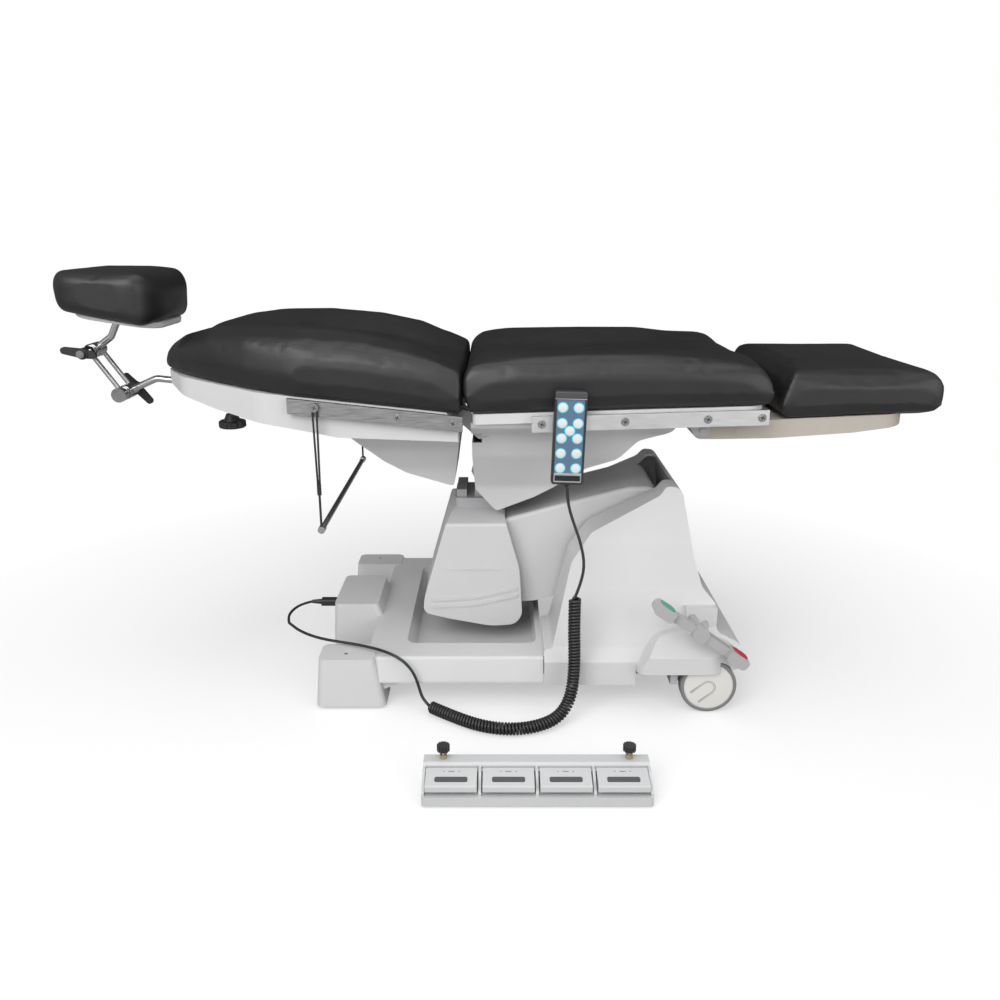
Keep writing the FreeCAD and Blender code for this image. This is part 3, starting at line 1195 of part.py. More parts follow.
def pedal_pad(sign, rise):
    """One coloured pad seated in the top of a paddle."""
    x0 = sign * (BRAKE_ARM - PADDLE_L + 6)
    x1 = sign * (BRAKE_ARM - 8)
    return plan_plate(rect(min(x0, x1), max(x0, x1), -BRAKE_Y - PADDLE_D + 4, -BRAKE_Y - 4, 9),
                      PADDLE_H / 2 - PAD_T, PADDLE_H / 2 + rise)


def brake_pads_green():
    """Green pads of both brake pedals."""
    return Part.makeCompound([brake_place(s) for s in both_sides(pedal_pad(-1, 1.5))])


def brake_pads_red():
    """Red pads of both brake pedals."""
    return Part.makeCompound([brake_place(s) for s in both_sides(pedal_pad(1, 1.5))])


PEDAL_PIN_Y = -646.0
PEDAL_PIN_Z = 47.0
PEDAL_PIN_R = 2.5
PAD_BACK = PAD_FRONT + PAD_D
PAD_LEFT = PAD_X - PAD_W / 2
KNOB_INSET = 38.0
THUMB_R = 12.5
EAR_T = 5.0


def pedal_x(index):
    """Middle of one foot pedal."""
    return PAD_X + (index - (PEDAL_N - 1) / 2) * PEDAL_PITCH


def foot_control_base():
    """Foot control housing: base plate on rubber feet, rear block, dividers and the pedal pin."""
    x0, x1 = PAD_LEFT, PAD_LEFT + PAD_W
    plate = plan_plate(rect(x0, x1, PAD_FRONT, PAD_BACK, 5), 3, PAD_BASE)
    rear = front_plate([(PAD_BACK - 34, PAD_BASE - 1), (PAD_BACK, PAD_BASE - 1), (PAD_BACK, PAD_TOP, 6),
                        (PAD_BACK - 30, PAD_TOP, 4), (PAD_BACK - 34, PAD_TOP - 5)], x0, x1)
    edges = [x0 + EAR_T / 2] + [(pedal_x(i) + pedal_x(i + 1)) / 2 for i in range(PEDAL_N - 1)] + [x1 - EAR_T / 2]
    ears = [front_plate([(PAD_FRONT + 3, PAD_BASE - 1), (PAD_FRONT + 3, PAD_BASE + 6), (PEDAL_PIN_Y - 9, PEDAL_PIN_Z + 4, 6),
                         (PAD_BACK - 32, PEDAL_PIN_Z + 6), (PAD_BACK - 32, PAD_BASE - 1)], x - EAR_T / 2, x + EAR_T / 2)
            for x in edges]
    pin = Part.makeCylinder(PEDAL_PIN_R, PAD_W - 4, V(x0 + 2, PEDAL_PIN_Y, PEDAL_PIN_Z), V(1, 0, 0))
    feet = [rod_z(x, y, 9, 0, 4) for x in (x0 + 22, x1 - 22) for y in (PAD_FRONT + 18, PAD_BACK - 18)]
    body = joined([plate, rear, pin] + ears + feet)
    holes = [rod_z(x, PAD_BACK - 16, 3 + PIN_GAP, PAD_TOP - 14, PAD_TOP + 1) for x in knob_places()]
    return body.cut(holes)


def knob_places():
    """Both thumb screw positions along the foot control."""
    return (PAD_LEFT + KNOB_INSET, PAD_LEFT + PAD_W - KNOB_INSET)


def foot_pedal(index):
    """One sprung foot pedal with its barrel and a front lip."""
    x = pedal_x(index)
    outline = [(PEDAL_PIN_Y - 2, PEDAL_PIN_Z - 4), (PEDAL_PIN_Y - 2, PEDAL_PIN_Z + 6, 4), (PAD_FRONT + 4, 43, 3),
               (PAD_FRONT + 4, 31), (PAD_FRONT + 8, 31), (PAD_FRONT + 9, 38), (PEDAL_PIN_Y - 9, PEDAL_PIN_Z - 1)]
    plate = front_plate(outline, x - PEDAL_W / 2, x + PEDAL_W / 2)
    barrel = Part.makeCylinder(5, PEDAL_W, V(x - PEDAL_W / 2, PEDAL_PIN_Y, PEDAL_PIN_Z), V(1, 0, 0))
    bore = Part.makeCylinder(PEDAL_PIN_R + PIN_GAP, PEDAL_W + 2, V(x - PEDAL_W / 2 - 1, PEDAL_PIN_Y, PEDAL_PIN_Z),
                             V(1, 0, 0))
    return joined([plate, barrel]).cut(bore)


def foot_knob(x):
    """Thumb screw with a fluted head on a plain post."""
    y = PAD_BACK - 16
    post = joined([rod_z(x, y, 3, PAD_TOP - 12, PAD_TOP + 20), rod_z(x, y, 7, PAD_TOP + SOFT_GAP, PAD_TOP + 9)])
    head = rod_z(x, y, THUMB_R, PAD_TOP + 17, PAD_TOP + 29)
    flutes = [rod_z(x + THUMB_R * math.cos(a), y + THUMB_R * math.sin(a), 1.6, PAD_TOP + 16, PAD_TOP + 30)
              for a in [i * math.pi / 6 for i in range(12)]]
    return joined([post, head.cut(flutes)])


UPPER_ROUTE = [(141.0, -323.5, 513.6), (142.0, -323.8, 482), (155.0, -327, 440), (172.0, -332, 394),
               (181.0, -338, 348), (174.0, -344.5, 311), (161.0, -350, 276)]
COIL_ROUTE = [(161.0, -350, 276), (160.0, -355, 212), (162.0, -361, 152), (161.0, -370, 99), (153.0, -387, 53),
              (128.0, -412, 23), (80.0, -437, 15), (22.0, -449, 15), (-40.0, -435, 15), (-102.0, -396, 15),
              (-156.0, -356, 17)]
LEAD_ROUTE = [(-156.0, -356, 17), (-174.0, -344.5, 32.5), (-181.0, -341, 60), (-191.0, -341, 92), (-211.0, -339, 119),
              (-246.0, -321, 131), (-294.0, -289, 129.5), (-345.0, -266, 128), (-391.0, -251, 127.5),
              (-434.0, -224, 124), (-480.0, -177, 118), (-514.0, -126, 114), (-526.0, -80, 112.5),
              (-521.0, -42, 113.5), (-505.0, -14, 115.5), (-482.0, 0, 116)]


def route_radii(points):
    """Arc radius at each inner point of a free cord's route."""
    radii = []
    for i in range(1, len(points) - 1):
        back = points[i - 1] - points[i]
        ahead = points[i + 1] - points[i]
        turn = math.pi - back.getAngle(ahead)
        radii.append(0.45 * min(back.Length, ahead.Length) / math.tan(turn / 2))
    return radii


def cord_tube(name, route, radius):
    """A plain tube along a cord's route."""
    points = [V(*p) for p in route]
    radii = route_radii(points)
    path = route_wire(points, radii)
    tube = pipe(path, radius)
    share = tube.Volume / (math.pi * radius ** 2 * path.Length)
    print(name, "length", round(path.Length), "radii", [round(r) for r in radii], "volume share", round(share, 4))
    return tube


def cord_upper():
    """Straight stretch of the handset cord from the handset to the coil."""
    return cord_tube("cord_upper", UPPER_ROUTE, CORD_R)


def cord_coil():
    """Outer shape of the curly stretch of the handset cord."""
    return cord_tube("cord_coil", COIL_ROUTE, COIL_R).cut([cord_upper(), cord_lead()])


def cord_lead():
    """Straight stretch of the handset cord from the coil to the plug."""
    return cord_tube("cord_lead", LEAD_ROUTE, CORD_R).cut(handset_plug())


def rails_with_hook():
    """Seat rails with the handset hook on the near one."""
    rail = seat_rail()
    return Part.makeCompound([joined([rail, handset_hook()]), mirrored(rail)])


CORD_NODES = ("handset_plug", "cord_lead", "cord_coil", "cord_upper")


def build_nodes():
    """Every named piece of the chair, drawn in the drawing frame."""
    wheel, tyre, fork, small = large_wheel(), large_tyre(), caster_fork(), caster_wheel()
    nodes = {
        "base_frame": base_frame(), "base_cover": base_cover(), "lift_housing": lift_housing(),
        "lift_actuator": lift_actuator(), "cord_inlet": cord_inlet(), "handset_plug": handset_plug(),
        "cord_lead": cord_lead(), "cord_coil": cord_coil(), "cord_upper": cord_upper(),
        "wheel_near": wheel, "wheel_tyre_near": tyre, "wheel_far": mirrored(wheel),
        "wheel_tyre_far": mirrored(tyre), "caster_fork_near": fork, "caster_wheel_near": small,
        "caster_fork_far": mirrored(fork), "caster_wheel_far": mirrored(small),
        "brake_lever": brake_lever(), "brake_pads_green": brake_pads_green(), "brake_pads_red": brake_pads_red(),
        "upper_arm": upper_arm(), "lower_arm": lower_arm(), "arm_cover": arm_cover(),
        "carriage": carriage(), "column_shroud": column_shroud(),
        "seat_frame": seat_frame(), "seat_pan": seat_pan(), "seat_belly": seat_belly(),
        "seat_actuators": seat_actuators(), "seat_cushion": seat_cushion(), "seat_rails": rails_with_hook(),
        "seat_bolts": seat_bolts(), "back_board": back_board(), "back_belly": back_belly(),
        "back_cushion": back_cushion(), "back_cushion_fold": back_cushion_fold(), "back_rails": back_rails(),
        "back_bolts": back_bolts(), "head_lock_knob": head_lock_knob(), "headrest_bar": headrest_bar(),
        "lower_knuckle": lower_knuckle(), "lower_lever": lower_lever(), "link_rods": link_rods(),
        "upper_knuckle": upper_knuckle(), "upper_lever": upper_lever(), "headrest_plate": headrest_plate(),
        "headrest_cushion": headrest_cushion(), "leg_board": leg_board(), "leg_cushion": leg_cushion(),
        "roll_bar": roll_bar(), "roll_bar_loops": roll_bar_loops(), "handset_case": handset_case(),
        "handset_keypad": handset_keypad(), "foot_control_base": foot_control_base(),
    }
    for i in range(PEDAL_N):
        nodes["foot_pedal_%d" % (i + 1)] = foot_pedal(i)
    for side, x in zip(("left", "right"), knob_places()):
        nodes["foot_knob_" + side] = foot_knob(x)
    return nodes


def row_shift(nodes):
    """Move that puts the bottom centre of the chair, without its cord, at the origin."""
    points = []
    for name, shape in nodes.items():
        if name not in CORD_NODES:
            points += shape.tessellate(0.2)[0]
    xs = [p.x for p in points]
    ys = [p.y for p in points]
    return V(-(min(xs) + max(xs)) / 2, -(min(ys) + max(ys)) / 2, -min(p.z for p in points))


def main():
    nodes = build_nodes()
    shift = row_shift(nodes)
    print("nodes", len(nodes), "shift", shift)
    os.makedirs("parts", exist_ok=True)
    for name, shape in nodes.items():
        placed = shape.copy()
        placed.translate(shift)
        placed.exportStep("parts/%s.step" % name)


if __name__ == "__main__":
    main()
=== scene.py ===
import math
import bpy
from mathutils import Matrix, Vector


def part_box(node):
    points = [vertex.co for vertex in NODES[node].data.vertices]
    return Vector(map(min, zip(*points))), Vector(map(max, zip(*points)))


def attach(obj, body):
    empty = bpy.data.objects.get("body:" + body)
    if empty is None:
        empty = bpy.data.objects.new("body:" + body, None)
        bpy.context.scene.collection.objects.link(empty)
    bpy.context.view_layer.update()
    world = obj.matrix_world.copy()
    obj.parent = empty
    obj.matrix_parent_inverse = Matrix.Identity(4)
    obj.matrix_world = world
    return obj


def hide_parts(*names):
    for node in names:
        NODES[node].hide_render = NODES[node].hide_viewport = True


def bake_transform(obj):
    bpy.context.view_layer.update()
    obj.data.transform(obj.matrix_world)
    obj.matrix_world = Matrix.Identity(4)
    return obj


bl_info = {
    "name": "Procedure chair",
    "version": (1, 0, 0),
    "blender": (4, 5, 0),
    "location": "View3D > Sidebar > Procedure chair",
    "description": "Dresses the packed procedure chair: upholstery, cord, handset, pedals and finishes",
    "category": "Add Mesh",
}

import bmesh
import bpy
from mathutils import Matrix, Vector
from mathutils.kdtree import KDTree

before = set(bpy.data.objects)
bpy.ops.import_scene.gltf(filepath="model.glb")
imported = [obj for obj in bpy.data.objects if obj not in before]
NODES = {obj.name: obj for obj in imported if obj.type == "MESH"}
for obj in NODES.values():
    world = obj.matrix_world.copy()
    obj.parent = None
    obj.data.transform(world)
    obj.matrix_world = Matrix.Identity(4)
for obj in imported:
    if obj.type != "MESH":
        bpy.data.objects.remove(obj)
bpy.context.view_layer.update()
NEAR_WHEEL, FAR_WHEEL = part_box("wheel_near"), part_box("wheel_far")
WHEEL_MIDDLE = (462.0, 62.5)
SHIFT = Vector(((NEAR_WHEEL[0][0] + NEAR_WHEEL[1][0]) / 2 - WHEEL_MIDDLE[0] / 1000,
                (NEAR_WHEEL[0][1] + FAR_WHEEL[1][1]) / 2, 0.0))


def at(x, y, z):
    """A point given in the chair's own drawing millimetres, in the frame's metres."""
    return Vector((x, y, z)) / 1000 + SHIFT


def size(name, default, note):
    """A length in metres that a user can change."""
    return bpy.props.FloatProperty(name=name, description=note, default=default, unit="LENGTH", precision=4)


def colour(name, default, note):
    """A plain colour that a user can change."""
    return bpy.props.FloatVectorProperty(name=name, description=note, default=default, size=3,
                                         subtype="COLOR", min=0.0, max=1.0)


class ChairFinishes(bpy.types.PropertyGroup):
    """Colours of the chair's finishes."""
    cover: colour("Covers", (0.61, 0.61, 0.615), "Moulded covers over the lift, seat and back")
    base: colour("Base cover", (0.63, 0.63, 0.635), "Low moulding over the base frame")
    paint: colour("Frame paint", (0.44, 0.44, 0.45), "Painted steel of the frame, arms and carriage")
    leatherette: colour("Upholstery", (0.0110, 0.0107, 0.0110), "Black coated upholstery")
    charcoal: colour("Dark plastic", (0.028, 0.028, 0.031), "Handset shell, knobs and levers")
    foil: colour("Keypad foil", (0.095, 0.165, 0.255), "Printed foil of the handset")
    beige: colour("Leg board", (0.46, 0.42, 0.37), "Moulded board under the leg cushion")
    tread: colour("Wheel tread", (0.20, 0.20, 0.205), "Grey tread of wheels and casters")
    green: colour("Green pad", (0.02, 0.33, 0.19), "Pad that releases the brake")
    red: colour("Red pad", (0.50, 0.025, 0.02), "Pad that sets the brake")


class ChairSizes(bpy.types.PropertyGroup):
    """Sizes of the pieces that the scene adds."""
    cord_diameter: size("Cord diameter", 0.0066, "Jacket diameter of the handset cord")
    coil_radius: size("Coil radius", 0.0110, "Radius of the curly cord at the middle of its wire")
    coil_pitch: size("Coil pitch", 0.0072, "Step of one turn of the curly cord")
    key_diameter: size("Key diameter", 0.020, "Round keys of the handset")
    stitch_length: size("Stitch length", 0.0055, "Length of one stitch on the upholstery")
    pillow: size("Pillow", 0.004, "Most that a cushion's face may swell")


# Finishes


def finish(name, base, roughness=0.5, metallic=0.0, **sockets):
    """A material with the colour, roughness and further shader values of one finish."""
    mat = bpy.data.materials.new(name)
    mat.use_nodes = True
    shader = mat.node_tree.nodes["Principled BSDF"]
    shader.inputs["Base Color"].default_value = (*base, 1.0)
    shader.inputs["Roughness"].default_value = roughness
    shader.inputs["Metallic"].default_value = metallic
    for socket, value in sockets.items():
        shader.inputs[socket.replace("_", " ")].default_value = value
    mat.diffuse_color = (*base, 1.0)
    return mat


def noise_field(mat, scale, stretch=(1, 1, 1), detail=4.0):
    """Noise over Object coordinates, stretched along the axes."""
    nodes, links = mat.node_tree.nodes, mat.node_tree.links
    place = nodes.new("ShaderNodeTexCoord")
    mapping = nodes.new("ShaderNodeMapping")
    mapping.inputs["Scale"].default_value = stretch
    noise = nodes.new("ShaderNodeTexNoise")
    noise.inputs["Scale"].default_value = scale
    noise.inputs["Detail"].default_value = detail
    links.new(place.outputs["Object"], mapping.inputs["Vector"])
    links.new(mapping.outputs["Vector"], noise.inputs["Vector"])
    return noise.outputs["Fac"]


def remap(mat, value, low, high):
    """Maps a 0 to 1 field to a range."""
    node = mat.node_tree.nodes.new("ShaderNodeMapRange")
    node.inputs["From Min"].default_value = 0.3
    node.inputs["From Max"].default_value = 0.7
    node.inputs["To Min"].default_value = low
    node.inputs["To Max"].default_value = high
    mat.node_tree.links.new(value, node.inputs["Value"])
    return node.outputs["Result"]


def add_tone(mat, value, dark, light):
    """Varies the base colour between two strengths of itself."""
    nodes, links = mat.node_tree.nodes, mat.node_tree.links
    shader = nodes["Principled BSDF"]
    base = shader.inputs["Base Color"].default_value[:]
    mix = nodes.new("ShaderNodeMix")
    mix.data_type = "RGBA"
    mix.inputs["A"].default_value = (*[c * dark for c in base[:3]], 1.0)
    mix.inputs["B"].default_value = (*[min(c * light, 1.0) for c in base[:3]], 1.0)
    links.new(remap(mat, value, 0.0, 1.0), mix.inputs["Factor"])
    links.new(mix.outputs["Result"], shader.inputs["Base Color"])


def add_roughness(mat, value, low, high):
    """Varies the roughness between two values."""
    shader = mat.node_tree.nodes["Principled BSDF"]
    mat.node_tree.links.new(remap(mat, value, low, high), shader.inputs["Roughness"])


def add_bump(mat, value, distance, strength=0.5):
    """Raises the surface by a field, over whatever bump is there already."""
    nodes, links = mat.node_tree.nodes, mat.node_tree.links
    shader = nodes["Principled BSDF"]
    bump = nodes.new("ShaderNodeBump")
    bump.inputs["Distance"].default_value = distance
    bump.inputs["Strength"].default_value = strength
    if shader.inputs["Normal"].is_linked:
        links.new(shader.inputs["Normal"].links[0].from_socket, bump.inputs["Normal"])
    links.new(value, bump.inputs["Height"])
    links.new(bump.outputs["Normal"], shader.inputs["Normal"])


def moulded_plastic(name, base, roughness=0.42, grain=0.00006):
    """Injection moulded plastic with a fine spark grain and faint handling marks."""
    mat = finish(name, base, roughness, Specular_IOR_Level=0.42)
    add_tone(mat, noise_field(mat, 3.0), 0.965, 1.02)
    add_roughness(mat, noise_field(mat, 14.0, detail=6), roughness - 0.06, roughness + 0.10)
    add_bump(mat, noise_field(mat, 1400.0, detail=2), grain, 0.35)
    return mat


def brushed_metal(name, base, roughness, grain, mottle=0.0):
    """Metal brushed along X, with an optional cloudy mottle."""
    mat = finish(name, base, roughness, 1.0)
    lines = noise_field(mat, 60.0, (0.4, 14, 14), 6)
    add_tone(mat, lines, 1 - grain, 1 + grain)
    add_roughness(mat, lines, roughness - 0.08, roughness + 0.14)
    add_bump(mat, lines, 0.00012, 0.4)
    if mottle:
        add_bump(mat, noise_field(mat, 240.0, detail=5), mottle, 0.6)
    return mat


def polished_metal(name, base, roughness=0.14):
    """Plated tube and casting with a soft lustre."""
    mat = finish(name, base, roughness, 1.0)
    add_roughness(mat, noise_field(mat, 40.0, detail=6), roughness - 0.04, roughness + 0.10)
    return mat


def painted_steel(name, base):
    """Powder coat with a light orange peel."""
    mat = finish(name, base, 0.38, 0.0, Coat_Weight=0.25, Coat_Roughness=0.25)
    add_tone(mat, noise_field(mat, 5.0), 0.96, 1.03)
    add_roughness(mat, noise_field(mat, 30.0), 0.32, 0.5)
    add_bump(mat, noise_field(mat, 420.0, detail=2), 0.0001, 0.35)
    return mat


def coated_leatherette(name, base):
    """Black coated upholstery: small pebbled grain, satin gloss, faint creases."""
    mat = finish(name, base, 0.40, 0.0, Specular_IOR_Level=0.50)
    nodes, links = mat.node_tree.nodes, mat.node_tree.links
    place = nodes.new("ShaderNodeTexCoord")
    cells = nodes.new("ShaderNodeTexVoronoi")
    cells.inputs["Scale"].default_value = 950.0
    links.new(place.outputs["Object"], cells.inputs["Vector"])
    add_tone(mat, noise_field(mat, 6.0), 0.82, 1.25)
    add_roughness(mat, noise_field(mat, 22.0, detail=6), 0.34, 0.44)
    add_bump(mat, cells.outputs["Distance"], 0.00022, 0.55)
    add_bump(mat, noise_field(mat, 26.0, (1.0, 1.6, 1.0), 3), 0.0012, 0.30)
    return mat


# Mesh helpers

SPLIT_GAP = 0.00005


def shade_smooth(mesh, smooth=True):
    """Sets the shading of all faces."""
    for face in mesh.polygons:
        face.use_smooth = smooth


def link(name, bm, mat, body, smooth=True):
    """Turns a bmesh into a piece that rides on a CAD body, if one is named."""
    bmesh.ops.recalc_face_normals(bm, faces=bm.faces)
    mesh = bpy.data.meshes.new(name)
    bm.to_mesh(mesh)
    bm.free()
    shade_smooth(mesh, smooth)
    piece = bpy.data.objects.new(name, mesh)
    bpy.context.scene.collection.objects.link(piece)
    mesh.materials.append(mat)
    if body:
        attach(piece, body)
    return piece


def slab(bm, low, high, edge=0.001, segments=2):
    """Adds a box between two corners with rounded edges, and returns its vertices."""
    low, high = Vector(low), Vector(high)
    place = Matrix.Translation((low + high) / 2) @ Matrix.Diagonal((*(high - low), 1.0))
    made = bmesh.ops.create_cube(bm, size=1.0, matrix=place)["verts"]
    edges = list({e for v in made for e in v.link_edges})
    result = bmesh.ops.bevel(bm, geom=edges, offset=edge, affect="EDGES", segments=segments, profile=0.5,
                             material=-1)
    return result["verts"]


def disc(bm, centre, radius, depth, axis, edge=0.0, segments=32):
    """Adds a short round piece along an axis, with an optional rounded rim."""
    turn = Vector((0, 0, 1)).rotation_difference(Vector(axis)).to_matrix().to_4x4()
    place = Matrix.Translation(Vector(centre)) @ turn
    made = bmesh.ops.create_cone(bm, cap_ends=True, segments=segments, radius1=radius, radius2=radius,
                                 depth=depth, matrix=place)["verts"]
    if edge:
        rims = [e for e in {e for v in made for e in v.link_edges} if len(e.link_faces) == 2
                and abs(e.link_faces[0].normal.dot(e.link_faces[1].normal)) < 0.3]
        bmesh.ops.bevel(bm, geom=rims, offset=edge, affect="EDGES", segments=2, profile=0.5, material=-1)


def set_finish(names, mat):
    """Gives CAD nodes one material."""
    for name in names:
        split_finish(name, [mat], lambda middle: 0)


def split_finish(name, mats, chooser):
    """Gives one CAD node several materials; the chooser numbers one for each face's middle."""
    data = NODES[name].data
    data.materials.clear()
    for mat in mats:
        data.materials.append(mat)
    for face in data.polygons:
        face.material_index = chooser(face.center)


def apply_modifiers(piece):
    """Bakes a piece's modifiers into its mesh."""
    graph = bpy.context.evaluated_depsgraph_get()
    mesh = bpy.data.meshes.new_from_object(piece.evaluated_get(graph))
    piece.modifiers.clear()
    piece.data = mesh


# Cord

UPPER_ROUTE = [(141.0, -323.5, 513.6), (142.0, -323.8, 482), (155.0, -327, 440), (172.0, -332, 394),
               (181.0, -338, 348), (174.0, -344.5, 311), (161.0, -350, 276)]
COIL_ROUTE = [(161.0, -350, 276), (160.0, -355, 212), (162.0, -361, 152), (161.0, -370, 99),
              (153.0, -387, 53), (128.0, -412, 23), (80.0, -437, 15), (22.0, -449, 15),
              (-40.0, -435, 15), (-102.0, -396, 15), (-156.0, -356, 17)]
LEAD_ROUTE = [(-156.0, -356, 17), (-174.0, -344.5, 32.5), (-181.0, -341, 60), (-191.0, -341, 92),
              (-211.0, -339, 119), (-246.0, -321, 131), (-294.0, -289, 129.5), (-345.0, -266, 128),
              (-391.0, -251, 127.5), (-434.0, -224, 124), (-480.0, -177, 118), (-514.0, -126, 114),
              (-526.0, -80, 112.5), (-521.0, -42, 113.5), (-505.0, -14, 115.5), (-482.0, 0, 116)]
TURN_POINTS = 12
DRAWN_IN = 0.6
AXIS_RESOLUTION = 12
CORD_RESOLUTION = 3


def nurbs(name, points, resolution):
    """An open smooth curve with these control points."""
    curve = bpy.data.curves.new(name, "CURVE")
    curve.dimensions = "3D"
    spline = curve.splines.new("NURBS")
    spline.points.add(len(points) - 1)
    for target, point in zip(spline.points, points):
        target.co = (*point, 1.0)
    spline.order_u = 3
    spline.use_endpoint_u = True
    curve.resolution_u = resolution
    piece = bpy.data.objects.new(name, curve)
    bpy.context.scene.collection.objects.link(piece)
    return piece


def line_of(piece):
    """Points along a curve that has no bevel."""
    bpy.context.view_layer.update()
    mesh = bpy.data.meshes.new_from_object(piece)
    points = [v.co.copy() for v in mesh.vertices]
    bpy.data.meshes.remove(mesh)
    return points


def stations(points, count):
    """Evenly spaced places and directions along a line of points."""
    steps = [(b - a).length for a, b in zip(points, points[1:])]
    total, walked, i, result = sum(steps), 0.0, 0, []
    for k in range(count + 1):
        goal = total * k / count
        while i < len(steps) - 1 and walked + steps[i] < goal:
            walked += steps[i]
            i += 1
        way = (points[i + 1] - points[i]).normalized()
        result.append((points[i] + way * (goal - walked), way))
    return result, total


def helix(points, radius, pitch):
    """Control points of a curly cord round a line, drawn in to the line at both ends."""
    turns = round(stations(points, 1)[1] / pitch)
    places, _ = stations(points, turns * TURN_POINTS)
    side = places[0][1].orthogonal().normalized()
    result = []
    for k, (place, way) in enumerate(places):
        side = (side - way * side.dot(way)).normalized()
        angle = 2 * math.pi * k / TURN_POINTS
        ends = min(k, len(places) - 1 - k) / (TURN_POINTS * DRAWN_IN)
        reach = radius * min(1.0, ends)
        result.append(place + (side * math.cos(angle) + way.cross(side) * math.sin(angle)) * reach)
    return result


class CHAIR_OT_cord(bpy.types.Operator):
    """Add the handset cord: straight, curly and straight again to its plug."""
    bl_idname = "chair.cord"
    bl_label = "Handset cord"

    def execute(self, context):
        sizes = context.scene.chair_sizes
        axis = nurbs("coil_axis", [at(*p) for p in COIL_ROUTE], AXIS_RESOLUTION)
        wound = helix(line_of(axis), sizes.coil_radius, sizes.coil_pitch)
        bpy.data.objects.remove(axis)
        points = [at(*p) for p in UPPER_ROUTE[:-1]] + wound + [at(*p) for p in LEAD_ROUTE[1:]]
        cord = nurbs("handset_cord", points, CORD_RESOLUTION)
        line = line_of(cord)
        cord.data.bevel_depth = sizes.cord_diameter / 2
        cord.data.bevel_resolution = 2
        cord.data.use_fill_caps = True
        jacket = finish("cord_jacket", (0.020, 0.020, 0.021), 0.36)
        add_roughness(jacket, noise_field(jacket, 60.0), 0.30, 0.46)
        cord.data.materials.append(jacket)
        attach(cord, "base")
        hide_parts("cord_upper", "cord_coil", "cord_lead")
        return {"FINISHED"}


# Upholstery

FOAM_VOXEL = 0.006
HEADREST_VOXEL = 0.004
HEADREST_SWELL = 0.004
FOAM_SMOOTHING = 6
LAST_SMOOTHING = 4
HEAD_END_ROOM = 0.012
GROOVE_WIDTH = 0.009
GROOVE_DEPTH = 0.0016
GROOVE_STEP = 0.003
STITCH_PITCH = 1.35
STITCH_HALF = (0.00055, 0.00045)
STITCH_RISE = 0.0002


def smoothing(piece, iterations):
    """Adds a smoothing modifier."""
    smooth = piece.modifiers.new("smooth", "SMOOTH")
    smooth.iterations = iterations
    smooth.factor = 0.5


def foam_copy(name, nodes, voxel, form=None):
    """One closed foam form from copies of CAD cushions, changed by a form function."""
    bm = bmesh.new()
    for node in nodes:
        bm.from_mesh(NODES[node].data)
    bmesh.ops.remove_doubles(bm, verts=bm.verts, dist=SPLIT_GAP)
    mesh = bpy.data.meshes.new(name)
    bm.to_mesh(mesh)
    bm.free()
    piece = bpy.data.objects.new(name, mesh)
    bpy.context.scene.collection.objects.link(piece)
    remesh = piece.modifiers.new("voxels", "REMESH")
    remesh.mode = "VOXEL"
    remesh.voxel_size = voxel
    smoothing(piece, FOAM_SMOOTHING)
    apply_modifiers(piece)
    if form:
        for vertex in piece.data.vertices:
            vertex.co = form(vertex.co)
    return piece


def inflate(piece, pressure, cap, frames=16):
    """Swells the cover with a cloth simulation; no point moves further than the cap."""
    rest = [v.co.copy() for v in piece.data.vertices]
    cloth = piece.modifiers.new("cloth", "CLOTH")
    cloth.settings.use_pressure = True
    cloth.settings.uniform_pressure_force = pressure
    cloth.settings.effector_weights.gravity = 0.0
    cloth.settings.tension_stiffness = 25.0
    cloth.settings.bending_stiffness = 4.0
    cloth.settings.quality = 4
    cloth.point_cache.frame_end = frames
    scene = bpy.context.scene
    for step in range(1, frames + 1):
        scene.frame_set(step)
    apply_modifiers(piece)
    scene.frame_set(1)
    for vertex, start in zip(piece.data.vertices, rest):
        move = vertex.co - start
        if move.length > cap:
            vertex.co = start + move.normalized() * cap


def settle(piece, low, high):
    """Keeps the cushion inside its box and gives it a last smoothing."""
    smoothing(piece, LAST_SMOOTHING)
    apply_modifiers(piece)
    for vertex in piece.data.vertices:
        for axis in range(3):
            vertex.co[axis] = min(max(vertex.co[axis], low[axis]), high[axis])


def press_groove(piece, lines, width, depth):
    """Sinks the cover along seam lines, fading out over a width."""
    points = [p for line in lines for p in dense(line, GROOVE_STEP)]
    tree = KDTree(len(points))
    for i, point in enumerate(points):
        tree.insert(point, i)
    tree.balance()
    normals = [v.normal.copy() for v in piece.data.vertices]
    for vertex, normal in zip(piece.data.vertices, normals):
        away = tree.find(vertex.co)[2]
        if away < width:
            share = math.cos(away / width * math.pi / 2) ** 2
            vertex.co -= normal * depth * share


def dense(line, step):
    """A line of points refilled at a small step."""
    result = []
    for a, b in zip(line, line[1:]):
        count = max(1, int((b - a).length / step))
        result += [a.lerp(b, k / count) for k in range(count)]
    return result + [line[-1]]


def stitches(name, piece, lines, mat, body=None):
    """Sewn thread: one small capsule for each stitch along lines on the cover."""
    length = bpy.context.scene.chair_sizes.stitch_length
    bm = bmesh.new()
    for line in lines:
        total = stations(line, 1)[1]
        count = int(total / (length * STITCH_PITCH))
        for place, way in stations(line, count)[0]:
            _, spot, normal, _ = piece.closest_point_on_mesh(place)
            way = (way - normal * way.dot(normal)).normalized()
            across = normal.cross(way)
            basis = Matrix((way, across, normal)).transposed().to_4x4()
            shape = Matrix.Translation(spot + normal * STITCH_RISE) @ basis @ Matrix.Diagonal(
                (length / 2, *STITCH_HALF, 1.0))
            bmesh.ops.create_icosphere(bm, subdivisions=1, radius=1.0, matrix=shape)
    return link(name, bm, mat, body)


